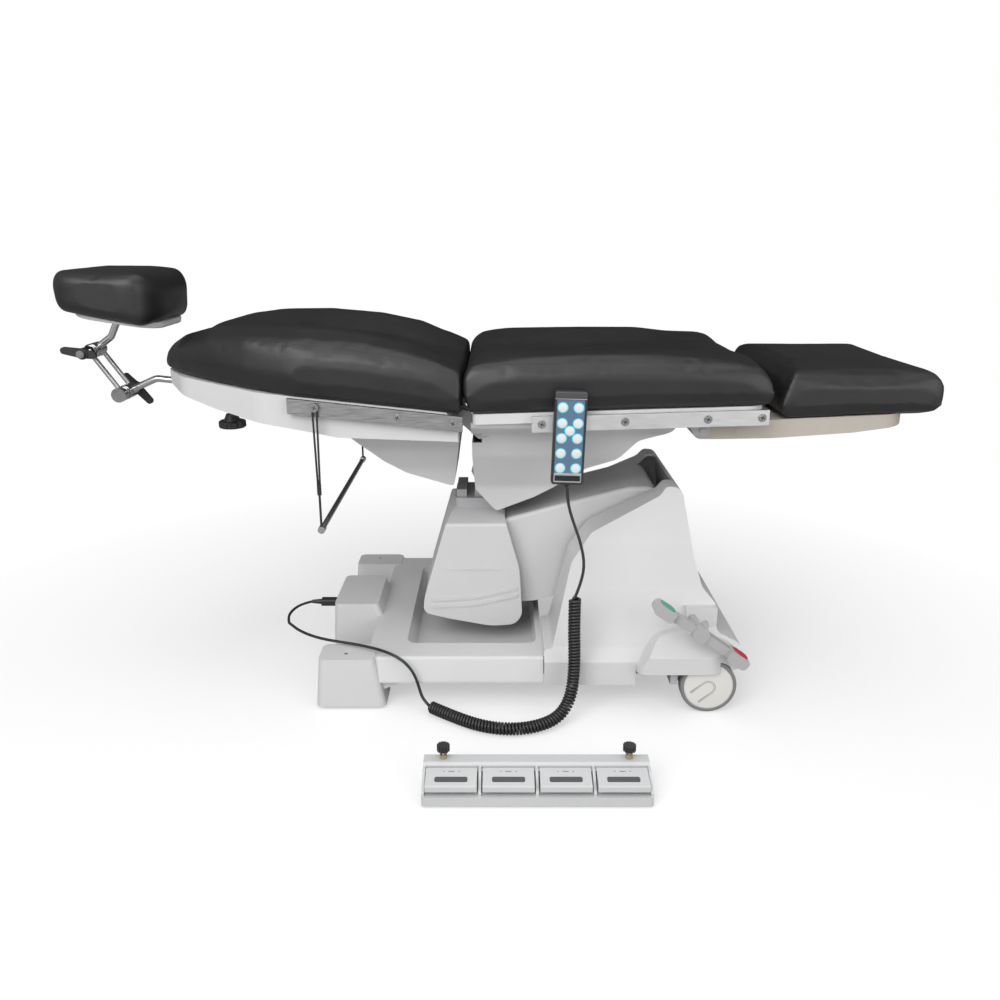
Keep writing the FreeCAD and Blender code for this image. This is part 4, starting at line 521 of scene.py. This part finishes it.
def cushion(name, nodes, cover, cap, pressure=2.0, voxel=FOAM_VOXEL, lines=(), form=None):
    """One upholstered cushion: foam form, swollen cover, pressed seams."""
    boxes = [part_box(node) for node in nodes]
    low = Vector([min(b[0][i] for b in boxes) for i in range(3)])
    high = Vector([max(b[1][i] for b in boxes) for i in range(3)])
    low.x -= HEAD_END_ROOM
    piece = foam_copy(name, nodes, voxel, form)
    inflate(piece, pressure, cap)
    settle(piece, low, high)
    if lines:
        press_groove(piece, lines, GROOVE_WIDTH, GROOVE_DEPTH)
    piece.data.materials.append(cover)
    shade_smooth(piece.data)
    fine = piece.modifiers.new("fine", "SUBSURF")
    fine.levels = fine.render_levels = 1
    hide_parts(*nodes)
    return piece


# Handset face

HANDSET_PIVOT = (143.5, 646.0)
HANDSET_TOP = 718.5
HANDSET_FACE = -328.3
HANDSET_LEAN = math.atan(0.0297)
KEY_ROWS = (33.5, 66.2, 97.8, 129.5, 161.0)
KEY_STEP = 16.3
MIDDLE_KEY = 81.9
CAP_HALF = 32.0
CAP_RIBS = 24
RIB_STEP = 2.6
RIB_HALF = 0.6


def on_handset(across, down, forward=0.0):
    """A point on the handset's foil: across from its middle and down from its top, in millimetres."""
    x, z = across, HANDSET_TOP - down - HANDSET_PIVOT[1]
    turn, lean = math.cos(HANDSET_LEAN), math.sin(HANDSET_LEAN)
    return at(HANDSET_PIVOT[0] + x * turn + z * lean, HANDSET_FACE - forward,
              HANDSET_PIVOT[1] - x * lean + z * turn)


def handset_slab(bm, across, down, forward, edge):
    """A rounded bar on the handset, given as ranges in millimetres."""
    made = slab(bm, (across[0] / 1000, -forward[1] / 1000, -down[1] / 1000),
                (across[1] / 1000, -forward[0] / 1000, -down[0] / 1000), edge / 1000)
    turn = Matrix.Rotation(HANDSET_LEAN, 4, "Y")
    bmesh.ops.transform(bm, matrix=Matrix.Translation(on_handset(0, 0)) @ turn, verts=made)


class CHAIR_OT_handset(bpy.types.Operator):
    """Add the handset's round keys, ribbed cap and lower band."""
    bl_idname = "chair.handset"
    bl_label = "Handset face"

    def execute(self, context):
        radius = context.scene.chair_sizes.key_diameter / 2
        places = [(side * KEY_STEP, row) for row in KEY_ROWS for side in (-1, 1)] + [(0, MIDDLE_KEY)]
        rings, keys = bmesh.new(), bmesh.new()
        for across, row in places:
            disc(rings, on_handset(across, row, 0.1), radius + 0.0012, 0.0002, (0, 1, 0), segments=40)
            disc(keys, on_handset(across, row, 0.45), radius - 0.0009, 0.0009, (0, 1, 0), 0.0003, 40)
        halo = finish("key_ring", (0.12, 0.62, 0.78), 0.35)
        link("key_rings", rings, halo, "handset", smooth=False)
        white = finish("key_white", (0.70, 0.71, 0.70), 0.34)
        add_bump(white, noise_field(white, 700.0), 0.00004, 0.3)
        link("handset_keys", keys, white, "handset")
        cap = bmesh.new()
        handset_slab(cap, (-CAP_HALF, CAP_HALF), (1.5, 14.5), (-1.0, 1.6), 1.2)
        for k in range(CAP_RIBS):
            across = (k - (CAP_RIBS - 1) / 2) * RIB_STEP
            handset_slab(cap, (across - RIB_HALF, across + RIB_HALF), (3.0, 12.6), (1.0, 2.2), 0.3)
        grey = moulded_plastic("cap_plastic", (0.075, 0.075, 0.082), 0.42)
        link("handset_cap", cap, grey, "handset", smooth=False)
        silver = brushed_metal("silver_band", (0.62, 0.62, 0.63), 0.34, 0.04)
        band = bmesh.new()
        handset_slab(band, (-CAP_HALF, CAP_HALF), (14.8, 16.2), (-0.4, 1.8), 0.3)
        handset_slab(band, (-28.6, 28.6), (171.6, 191.6), (-0.2, 0.7), 0.5)
        link("handset_band", band, silver, "handset", smooth=False)
        bar = bmesh.new()
        handset_slab(bar, (-26.6, 26.6), (176.6, 188.6), (0.4, 1.0), 0.3)
        link("handset_bar", bar, finish("bar_black", (0.012, 0.012, 0.013), 0.3), "handset", smooth=False)
        return {"FINISHED"}


# Foot control marks

PEDAL_MIDDLES = [70.0 + (i - 1.5) * 108.0 for i in range(4)]
PEDAL_BACK = (-648.0, 53.0)
PEDAL_SLOPE = 10 / 45
BADGE_HALF = 31.0
BADGE_CORNER = 3.6
BADGE_RISE = 0.4
BADGE_ALONG = (-682.0, -669.0)
MARK_ALONG = (-656.6, -655.2)
MARKS_ACROSS = ((-16, -13), (-6, 6), (13, 16))


def on_pedal(x, y):
    """The frame of a place on a pedal's sloped top."""
    top = PEDAL_BACK[1] + (y - PEDAL_BACK[0]) * PEDAL_SLOPE
    return Matrix.Translation(at(x, y, top)) @ Matrix.Rotation(math.atan(PEDAL_SLOPE), 4, "X")


def pedal_slab(bm, across, along, rise, edge):
    """A flat mark on a pedal's sloped top, given in millimetres."""
    middle = (along[0] + along[1]) / 2
    half = ((across[1] - across[0]) / 2000, (along[1] - along[0]) / 2000, rise / 1000)
    made = slab(bm, (-half[0], -half[1], -half[2]), half, edge / 1000)
    place = on_pedal((across[0] + across[1]) / 2, middle)
    bmesh.ops.transform(bm, matrix=place, verts=made)


def rounded_rim(low_x, high_x, half, corner, steps=8):
    """Plan outline with round corners, in metres from millimetres about its pivot."""
    rim = []
    for x, y, start in ((high_x - corner, half - corner, 0), (low_x + corner, half - corner, 90),
                        (low_x + corner, -half + corner, 180), (high_x - corner, -half + corner, 270)):
        for k in range(steps + 1):
            angle = math.radians(start + 90 * k / steps)
            rim.append(((x + corner * math.cos(angle)) / 1000, (y + corner * math.sin(angle)) / 1000))
    return rim


def skin_rings(bm, rings):
    """Closes a stack of vertex rings, given from the top down, with sides and two caps."""
    for upper, lower in zip(rings, rings[1:]):
        for i, vertex in enumerate(upper):
            after = (i + 1) % len(upper)
            bm.faces.new((vertex, lower[i], lower[after], upper[after]))
    bm.faces.new(rings[0])
    bm.faces.new(list(reversed(rings[-1])))


def pedal_badge(bm, x):
    """The flat badge with round corners on a pedal."""
    middle = (BADGE_ALONG[0] + BADGE_ALONG[1]) / 2
    reach = (BADGE_ALONG[1] - BADGE_ALONG[0]) / 2
    rim = rounded_rim(-BADGE_HALF, BADGE_HALF, reach, BADGE_CORNER, steps=6)
    rings = [[bm.verts.new((u, v, z / 1000)) for u, v in rim] for z in (BADGE_RISE, -0.3)]
    skin_rings(bm, rings)
    bmesh.ops.transform(bm, matrix=on_pedal(x, middle), verts=rings[0] + rings[1])


class CHAIR_OT_foot_control(bpy.types.Operator):
    """Add the bare pills and marks of the foot pedals."""
    bl_idname = "chair.foot_control"
    bl_label = "Foot control"

    def execute(self, context):
        pill = moulded_plastic("pedal_pill", (0.085, 0.085, 0.09), 0.5)
        for i, x in enumerate(PEDAL_MIDDLES):
            bm = bmesh.new()
            pedal_badge(bm, x)
            for low, high in MARKS_ACROSS:
                pedal_slab(bm, (x + low, x + high), MARK_ALONG, 0.25, 0.2)
            link("pedal_marks_%d" % (i + 1), bm, pill, "foot_pedal_%d" % (i + 1), smooth=False)
        return {"FINISHED"}


# Trim

WHEEL_FACE = 352.0
WHEEL_LOOP_TURN = math.radians(39)
WHEEL_LOOPS = (16.4, 13.4)
WHEEL_LOOP_ENDS = (-39, -20)
WHEEL_LINE_R = 0.00045
FOOT_SCREW = (-346, 304, 119.6)
FOOT_SCREW_R = 0.0042
SLOT_HALF = (0.00015, 0.0008)
SLOT_TURN = 0.4


def rounded_line(name, points, mat, body):
    """A thin round trim line through control points, made a mesh."""
    line = nurbs(name + "_line", points, 6)
    line.data.bevel_depth = WHEEL_LINE_R
    line.data.bevel_resolution = 2
    line.data.use_fill_caps = True
    bpy.context.view_layer.update()
    mesh = bpy.data.meshes.new_from_object(line.evaluated_get(bpy.context.evaluated_depsgraph_get()))
    bpy.data.objects.remove(line)
    piece = bpy.data.objects.new(name, mesh)
    bpy.context.scene.collection.objects.link(piece)
    mesh.materials.clear()
    mesh.materials.append(mat)
    shade_smooth(mesh)
    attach(piece, body)


def wheel_loop(reach, sign):
    """Control points of one U-shaped line on the wheel's cover, open to its lower left."""
    along = (math.cos(WHEEL_LOOP_TURN), math.sin(WHEEL_LOOP_TURN))
    across = (-along[1], along[0])
    turn = [math.radians(90 - 15 * k) for k in range(13)]
    shape = [(end, reach) for end in WHEEL_LOOP_ENDS]
    shape += [(-2 + reach * math.cos(t), reach * math.sin(t)) for t in turn]
    shape += [(end, -reach) for end in reversed(WHEEL_LOOP_ENDS)]
    return [at(WHEEL_MIDDLE[0] + u * along[0] + v * across[0], sign * WHEEL_FACE,
               WHEEL_MIDDLE[1] + u * along[1] + v * across[1]) for u, v in shape]


def screw_slots(node):
    """Cross slots on the outer faces of a node's separate screw heads, as thin bars that carry the painted
    shade of the recesses.
    """
    source = bmesh.new()
    source.from_mesh(NODES[node].data)
    bmesh.ops.remove_doubles(source, verts=source.verts, dist=SPLIT_GAP)
    left, slots = set(source.verts), bmesh.new()
    while left:
        group, edge = set(), [left.pop()]
        while edge:
            vertex = edge.pop()
            group.add(vertex)
            for link_edge in vertex.link_edges:
                other = link_edge.other_vert(vertex)
                if other in left:
                    left.discard(other)
                    edge.append(other)
        low = Vector([min(v.co[i] for v in group) for i in range(3)])
        high = Vector([max(v.co[i] for v in group) for i in range(3)])
        middle = (low + high) / 2
        face = low.y if middle.y < SHIFT.y else high.y
        reach = (high.z - low.z) * 0.30
        for turn in (SLOT_TURN, SLOT_TURN + math.pi / 2):
            made = slab(slots, (-reach, -SLOT_HALF[0], -SLOT_HALF[1]), (reach, *SLOT_HALF), 0.0001, 1)
            place = Matrix.Translation((middle.x, face, middle.z)) @ Matrix.Rotation(turn, 4, "Y")
            bmesh.ops.transform(slots, matrix=place, verts=made)
    source.free()
    return slots


class CHAIR_OT_trim(bpy.types.Operator):
    """Add wheel lines, cover screws and the slots of the rail screws, the slots drawn dark as painted
    shade.
    """
    bl_idname = "chair.trim"
    bl_label = "Trim"

    def execute(self, context):
        line = finish("wheel_line", (0.16, 0.16, 0.16), 0.6)
        for side, sign in (("near", -1), ("far", 1)):
            for k, reach in enumerate(WHEEL_LOOPS):
                rounded_line("wheel_line_%s_%d" % (side, k + 1), wheel_loop(reach, sign), line,
                             "wheel_" + side)
        screw = polished_metal("cover_screws", (0.52, 0.52, 0.52), 0.3)
        feet = bmesh.new()
        for sign in (-1, 1):
            place = at(FOOT_SCREW[0], sign * FOOT_SCREW[1], FOOT_SCREW[2])
            disc(feet, place, FOOT_SCREW_R, 0.0016, (0, 0, 1), 0.0005, 20)
        link("cover_screws", feet, screw, "base")
        # The slots are near-black bars on the plated heads: painted shade where the recesses would be.
        slot_shade = finish("screw_slot_shade", (0.05, 0.05, 0.05), 0.6)
        for body in ("seat", "back"):
            link(body + "_screw_slots", screw_slots(body + "_bolts"), slot_shade, body, smooth=False)
        return {"FINISHED"}


# Cushions of the chair

SEAM_HALF = 288
SEAT_SEAM = ((-72, SEAM_HALF, 757), (20, SEAM_HALF, 770), (200, SEAM_HALF, 774), (340, SEAM_HALF, 775),
             (430, SEAM_HALF, 770), (500, SEAM_HALF, 765), (560, SEAM_HALF, 750))
BACK_SEAM = ((-88, SEAM_HALF, 752), (-130, SEAM_HALF, 766), (-199, SEAM_HALF, 781), (-300, SEAM_HALF, 796),
             (-430, SEAM_HALF, 808), (-500, 272, 812))
SEAM_LIFT = Vector((0, 0, 0.004))
HEAD_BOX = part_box("headrest_cushion")
HEAD_LEFT, HEAD_RIGHT = -0.988, -0.755
HEAD_CORNERS = (0.13, 0.10)
BACK_END = -0.768
BACK_TAPER = -0.60
BACK_DRAWN = 0.014
TRAY_PIVOT = (-848.0, 842.4)
TRAY_TILT = math.radians(8.9)
TRAY_LEFT, TRAY_RIGHT = -114, 84
TRAY_HALF = 108
TRAY_CORNER = 58
TRAY_EDGE = ((0.3, 0), (9, 0), (11.4, 0.8), (13.2, 2.8), (14, 6))


def seams(points):
    """One seam drawn on both sides of the chair, the near side first."""
    return [[at(x, sign * y, z) for x, y, z in points] for sign in (-1, 1)]


def raised(lines):
    """Seams lifted off the cover, from where their stitches look for it."""
    return [[point + SEAM_LIFT for point in line] for line in lines]


def headrest_form(co):
    """The headrest with its corners drawn in and its lower end as short as in the photograph."""
    middle = (HEAD_BOX[0] + HEAD_BOX[1]) / 2
    half = (HEAD_BOX[1] - HEAD_BOX[0]) / 2
    u, v = (co.x - middle.x) / half.x, (co.y - middle.y) / half.y
    place = (HEAD_LEFT + HEAD_RIGHT) / 2 + SHIFT.x
    reach = (HEAD_RIGHT - HEAD_LEFT) / 2
    return Vector((place + reach * u * (1 - HEAD_CORNERS[0] * v ** 4),
                   middle.y + half.y * v * (1 - HEAD_CORNERS[1] * u ** 4), co.z))


def back_form(co):
    """The back cushion with its head end drawn in slightly."""
    x = co.x - SHIFT.x
    if x > BACK_TAPER:
        return co
    share = (BACK_TAPER - x) / (BACK_TAPER - BACK_END)
    return co + Vector((BACK_DRAWN * share ** 2, 0, 0))


def headrest_tray(mat):
    """Pale tray under the headrest cushion, with round corners and a soft lower edge."""
    bm = bmesh.new()
    rings = []
    for drop, inset in TRAY_EDGE:
        rim = rounded_rim(TRAY_LEFT + inset, TRAY_RIGHT - inset, TRAY_HALF - inset, TRAY_CORNER - inset)
        rings.append([bm.verts.new((x, y, -drop / 1000)) for x, y in rim])
    skin_rings(bm, rings)
    place = Matrix.Translation(at(TRAY_PIVOT[0], 0, TRAY_PIVOT[1])) @ Matrix.Rotation(TRAY_TILT, 4, "Y")
    bmesh.ops.transform(bm, matrix=place, verts=bm.verts)
    tray = link("headrest_tray", bm, mat, "headrest", smooth=False)
    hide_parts("headrest_plate")


class CHAIR_OT_upholstery(bpy.types.Operator):
    """Replace the foam solids by swollen, stitched cushions."""
    bl_idname = "chair.upholstery"
    bl_label = "Upholstery"

    def execute(self, context):
        looks, sizes = context.scene.chair_finishes, context.scene.chair_sizes
        cover = coated_leatherette("leatherette", tuple(looks.leatherette))
        thread = finish("thread", (0.03, 0.03, 0.03), 0.7)
        seat_seams, back_seams = seams(SEAT_SEAM), seams(BACK_SEAM)
        seat = cushion("seat_pad", ["seat_cushion"], cover, sizes.pillow, lines=seat_seams)
        stitches("seat_stitches", seat, raised(seat_seams), thread, "seat")
        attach(seat, "seat")
        back = cushion("back_pad", ["back_cushion", "back_cushion_fold"], cover, sizes.pillow,
                       lines=back_seams, form=back_form)
        sewn = stitches("back_stitches", back, raised(back_seams), thread)
        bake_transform(back)
        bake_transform(sewn)
        head = cushion("headrest_pad", ["headrest_cushion"], cover, HEADREST_SWELL, voxel=HEADREST_VOXEL,
                       form=headrest_form)
        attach(head, "headrest")
        leg = cushion("leg_pad", ["leg_cushion"], cover, sizes.pillow)
        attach(leg, "leg")
        return {"FINISHED"}


POST_TOP = 0.0745


class CHAIR_OT_plain_finishes(bpy.types.Operator):
    """Give every rigid piece of the frame its finish."""
    bl_idname = "chair.plain_finishes"
    bl_label = "Finishes"

    def execute(self, context):
        looks = context.scene.chair_finishes
        cover = moulded_plastic("moulded_cover", tuple(looks.cover))
        set_finish(["lift_housing", "arm_cover", "column_shroud", "seat_belly", "back_board",
                    "back_belly"], cover)
        base = moulded_plastic("base_cover", tuple(looks.base), 0.45, 0.0001)
        set_finish(["base_cover", "seat_pan"], base)
        headrest_tray(base)
        set_finish(["wheel_near", "wheel_far"], moulded_plastic("wheel_cover", (0.70, 0.69, 0.66), 0.4))
        paint = painted_steel("frame_paint", tuple(looks.paint))
        set_finish(["base_frame", "upper_arm", "lower_arm", "carriage", "seat_frame"], paint)
        motor = moulded_plastic("motor_plastic", (0.16, 0.16, 0.165), 0.5)
        set_finish(["lift_actuator", "seat_actuators", "cord_inlet"], motor)
        lever = painted_steel("lever_paint", (0.40, 0.40, 0.40))
        set_finish(["brake_lever"], lever)
        set_finish(["brake_pads_green"], moulded_plastic("green_pad", tuple(looks.green), 0.35))
        set_finish(["brake_pads_red"], moulded_plastic("red_pad", tuple(looks.red), 0.35))
        set_finish(["seat_rails"], brushed_metal("rail_aluminium", (0.72, 0.72, 0.73), 0.36, 0.05))
        set_finish(["back_rails"], brushed_metal("rail_steel", (0.34, 0.34, 0.345), 0.38, 0.25, 0.0004))
        plated = polished_metal("plated_steel", (0.50, 0.50, 0.50))
        set_finish(["seat_bolts", "back_bolts", "headrest_bar", "lower_knuckle", "link_rods",
                    "upper_knuckle", "roll_bar", "caster_fork_near", "caster_fork_far"], plated)
        dark = moulded_plastic("dark_plastic", tuple(looks.charcoal), 0.42)
        set_finish(["handset_plug", "head_lock_knob", "lower_lever", "upper_lever", "handset_case"], dark)
        brass = polished_metal("brass_post", (0.55, 0.47, 0.36), 0.25)
        for name in ("foot_knob_left", "foot_knob_right"):
            split_finish(name, [dark, brass], lambda middle: int(middle.z < POST_TOP))
        set_finish(["leg_board"], moulded_plastic("leg_board", tuple(looks.beige), 0.5, 0.0001))
        set_finish(["roll_bar_loops"], finish("elastic", (0.018, 0.018, 0.018), 0.6))
        tread = finish("wheel_tread", tuple(looks.tread), 0.72)
        add_tone(tread, noise_field(tread, 18.0), 0.9, 1.1)
        add_bump(tread, noise_field(tread, 500.0), 0.0002, 0.5)
        set_finish(["wheel_tyre_near", "wheel_tyre_far", "caster_wheel_near", "caster_wheel_far"], tread)
        foil = finish("keypad_foil", tuple(looks.foil), 0.32)
        add_bump(foil, noise_field(foil, 900.0), 0.00004, 0.4)
        set_finish(["handset_keypad"], foil)
        pedal = moulded_plastic("pedal_plastic", (0.56, 0.565, 0.57), 0.45, 0.0001)
        set_finish(["foot_control_base", "foot_pedal_1", "foot_pedal_2", "foot_pedal_3",
                    "foot_pedal_4"], pedal)
        return {"FINISHED"}


# Stage

FLOOR_SIZE = 14.0
FLOOR_TONES = (0.45, 0.95)
FLOOR_GLOW = (0.45, 1.0)
GLOW_REACH = (0.7, 1.7)
SKY_TONES = ((0.62, 0.24), (0.90, 0.03))
LAMPS = (("key", (-1.4, -3.0, 2.6), (0, 0, 0.5), 95, 2.6),
         ("fill", (2.4, -2.6, 1.5), (0, 0, 0.4), 30, 2.4),
         ("top", (0.2, -0.4, 3.4), (0, 0, 0.6), 32, 2.8))
CAMERA_PLACE = (0, -2136, 1041)
CAMERA_DROP = 16.99
CAMERA_LENS = 32.4


def map_range(nodes, low, high, start=0.0, end=1.0):
    """A node that maps one range to another."""
    node = nodes.new("ShaderNodeMapRange")
    node.inputs["From Min"].default_value = start
    node.inputs["From Max"].default_value = end
    node.inputs["To Min"].default_value = low
    node.inputs["To Max"].default_value = high
    return node


def floor_paper(name):
    """Pale paper that turns plain white away from the chair, for the camera alone."""
    mat = finish(name, (0.5, 0.5, 0.5), 0.7, Specular_IOR_Level=0.1)
    nodes, links = mat.node_tree.nodes, mat.node_tree.links
    tone = map_range(nodes, *FLOOR_TONES)
    place = nodes.new("ShaderNodeTexCoord")
    reach = nodes.new("ShaderNodeVectorMath")
    reach.operation = "LENGTH"
    fade = map_range(nodes, *FLOOR_GLOW, *GLOW_REACH)
    path = nodes.new("ShaderNodeLightPath")
    share = nodes.new("ShaderNodeMath")
    share.operation = "MULTIPLY"
    glow = nodes.new("ShaderNodeEmission")
    mix = nodes.new("ShaderNodeMixShader")
    links.new(path.outputs["Is Camera Ray"], tone.inputs["Value"])
    links.new(tone.outputs["Result"], nodes["Principled BSDF"].inputs["Base Color"])
    links.new(place.outputs["Object"], reach.inputs[0])
    links.new(reach.outputs["Value"], fade.inputs["Value"])
    links.new(fade.outputs["Result"], share.inputs[0])
    links.new(path.outputs["Is Camera Ray"], share.inputs[1])
    links.new(share.outputs["Value"], mix.inputs["Fac"])
    links.new(nodes["Principled BSDF"].outputs["BSDF"], mix.inputs[1])
    links.new(glow.outputs["Emission"], mix.inputs[2])
    links.new(mix.outputs["Shader"], nodes["Material Output"].inputs["Surface"])
    return mat


def studio_sky(name):
    """A sky that is bright in front and dark behind, and plain white for the camera alone."""
    world = bpy.data.worlds.new(name)
    world.use_nodes = True
    nodes, links = world.node_tree.nodes, world.node_tree.links
    path = nodes.new("ShaderNodeLightPath")
    way = nodes.new("ShaderNodeTexCoord")
    split = nodes.new("ShaderNodeSeparateXYZ")
    links.new(way.outputs["Generated"], split.inputs[0])
    shine = nodes.new("ShaderNodeMix")
    links.new(path.outputs["Is Glossy Ray"], shine.inputs["Factor"])
    for socket, (front, back) in zip("AB", SKY_TONES):
        level = map_range(nodes, front, back, start=-1.0)
        links.new(split.outputs["Y"], level.inputs["Value"])
        links.new(level.outputs["Result"], shine.inputs[socket])
    pick = nodes.new("ShaderNodeMix")
    pick.inputs["B"].default_value = 1.0
    links.new(path.outputs["Is Camera Ray"], pick.inputs["Factor"])
    links.new(shine.outputs["Result"], pick.inputs["A"])
    sky = nodes["Background"]
    sky.inputs["Color"].default_value = (1, 1, 1, 1)
    links.new(pick.outputs["Result"], sky.inputs["Strength"])
    return world


class CHAIR_OT_stage(bpy.types.Operator):
    """Add the floor, soft lights and the camera."""
    bl_idname = "chair.stage"
    bl_label = "Stage"

    def execute(self, context):
        scene = context.scene
        scene.view_settings.view_transform = "Standard"
        bm = bmesh.new()
        bmesh.ops.create_grid(bm, x_segments=1, y_segments=1, size=FLOOR_SIZE,
                              matrix=Matrix.Translation((0, 6, -0.0005)))
        mesh = bpy.data.meshes.new("floor")
        bm.to_mesh(mesh)
        bm.free()
        floor = bpy.data.objects.new("floor", mesh)
        scene.collection.objects.link(floor)
        mesh.materials.append(floor_paper("floor"))
        scene.world = studio_sky("studio")
        for name, place, aim, watts, span in LAMPS:
            lamp = bpy.data.lights.new(name, "AREA")
            lamp.energy = watts
            lamp.size = span
            thing = bpy.data.objects.new(name, lamp)
            thing.location = place
            thing.rotation_euler = (Vector(aim) - Vector(place)).to_track_quat("-Z", "Y").to_euler()
            scene.collection.objects.link(thing)
        view = bpy.data.cameras.new("camera")
        view.lens = CAMERA_LENS
        view.sensor_width = 36.0
        camera = bpy.data.objects.new("camera", view)
        camera.location = at(*CAMERA_PLACE)
        camera.rotation_euler = (math.radians(90 - CAMERA_DROP), 0, 0)
        scene.collection.objects.link(camera)
        scene.camera = camera
        return {"FINISHED"}


class CHAIR_PT_panel(bpy.types.Panel):
    """Lists the chair's finishes, sizes and steps."""
    bl_idname = "CHAIR_PT_panel"
    bl_label = "Procedure chair"
    bl_space_type = "VIEW_3D"
    bl_region_type = "UI"
    bl_category = "Procedure chair"

    def draw(self, context):
        layout = self.layout
        for group in (context.scene.chair_finishes, context.scene.chair_sizes):
            for name in group.__annotations__:
                layout.prop(group, name)
        for step in STEPS:
            layout.operator(step.bl_idname)


STEPS = (CHAIR_OT_plain_finishes, CHAIR_OT_cord, CHAIR_OT_upholstery, CHAIR_OT_handset,
         CHAIR_OT_foot_control, CHAIR_OT_trim, CHAIR_OT_stage)
CLASSES = (ChairFinishes, ChairSizes, *STEPS, CHAIR_PT_panel)


def register():
    for cls in CLASSES:
        bpy.utils.register_class(cls)
    bpy.types.Scene.chair_finishes = bpy.props.PointerProperty(type=ChairFinishes)
    bpy.types.Scene.chair_sizes = bpy.props.PointerProperty(type=ChairSizes)


def unregister():
    del bpy.types.Scene.chair_sizes
    del bpy.types.Scene.chair_finishes
    for cls in reversed(CLASSES):
        bpy.utils.unregister_class(cls)


def main():
    register()
    for step in STEPS:
        family, name = step.bl_idname.split(".")
        getattr(getattr(bpy.ops, family), name)()


if __name__ == "__main__":
    main()
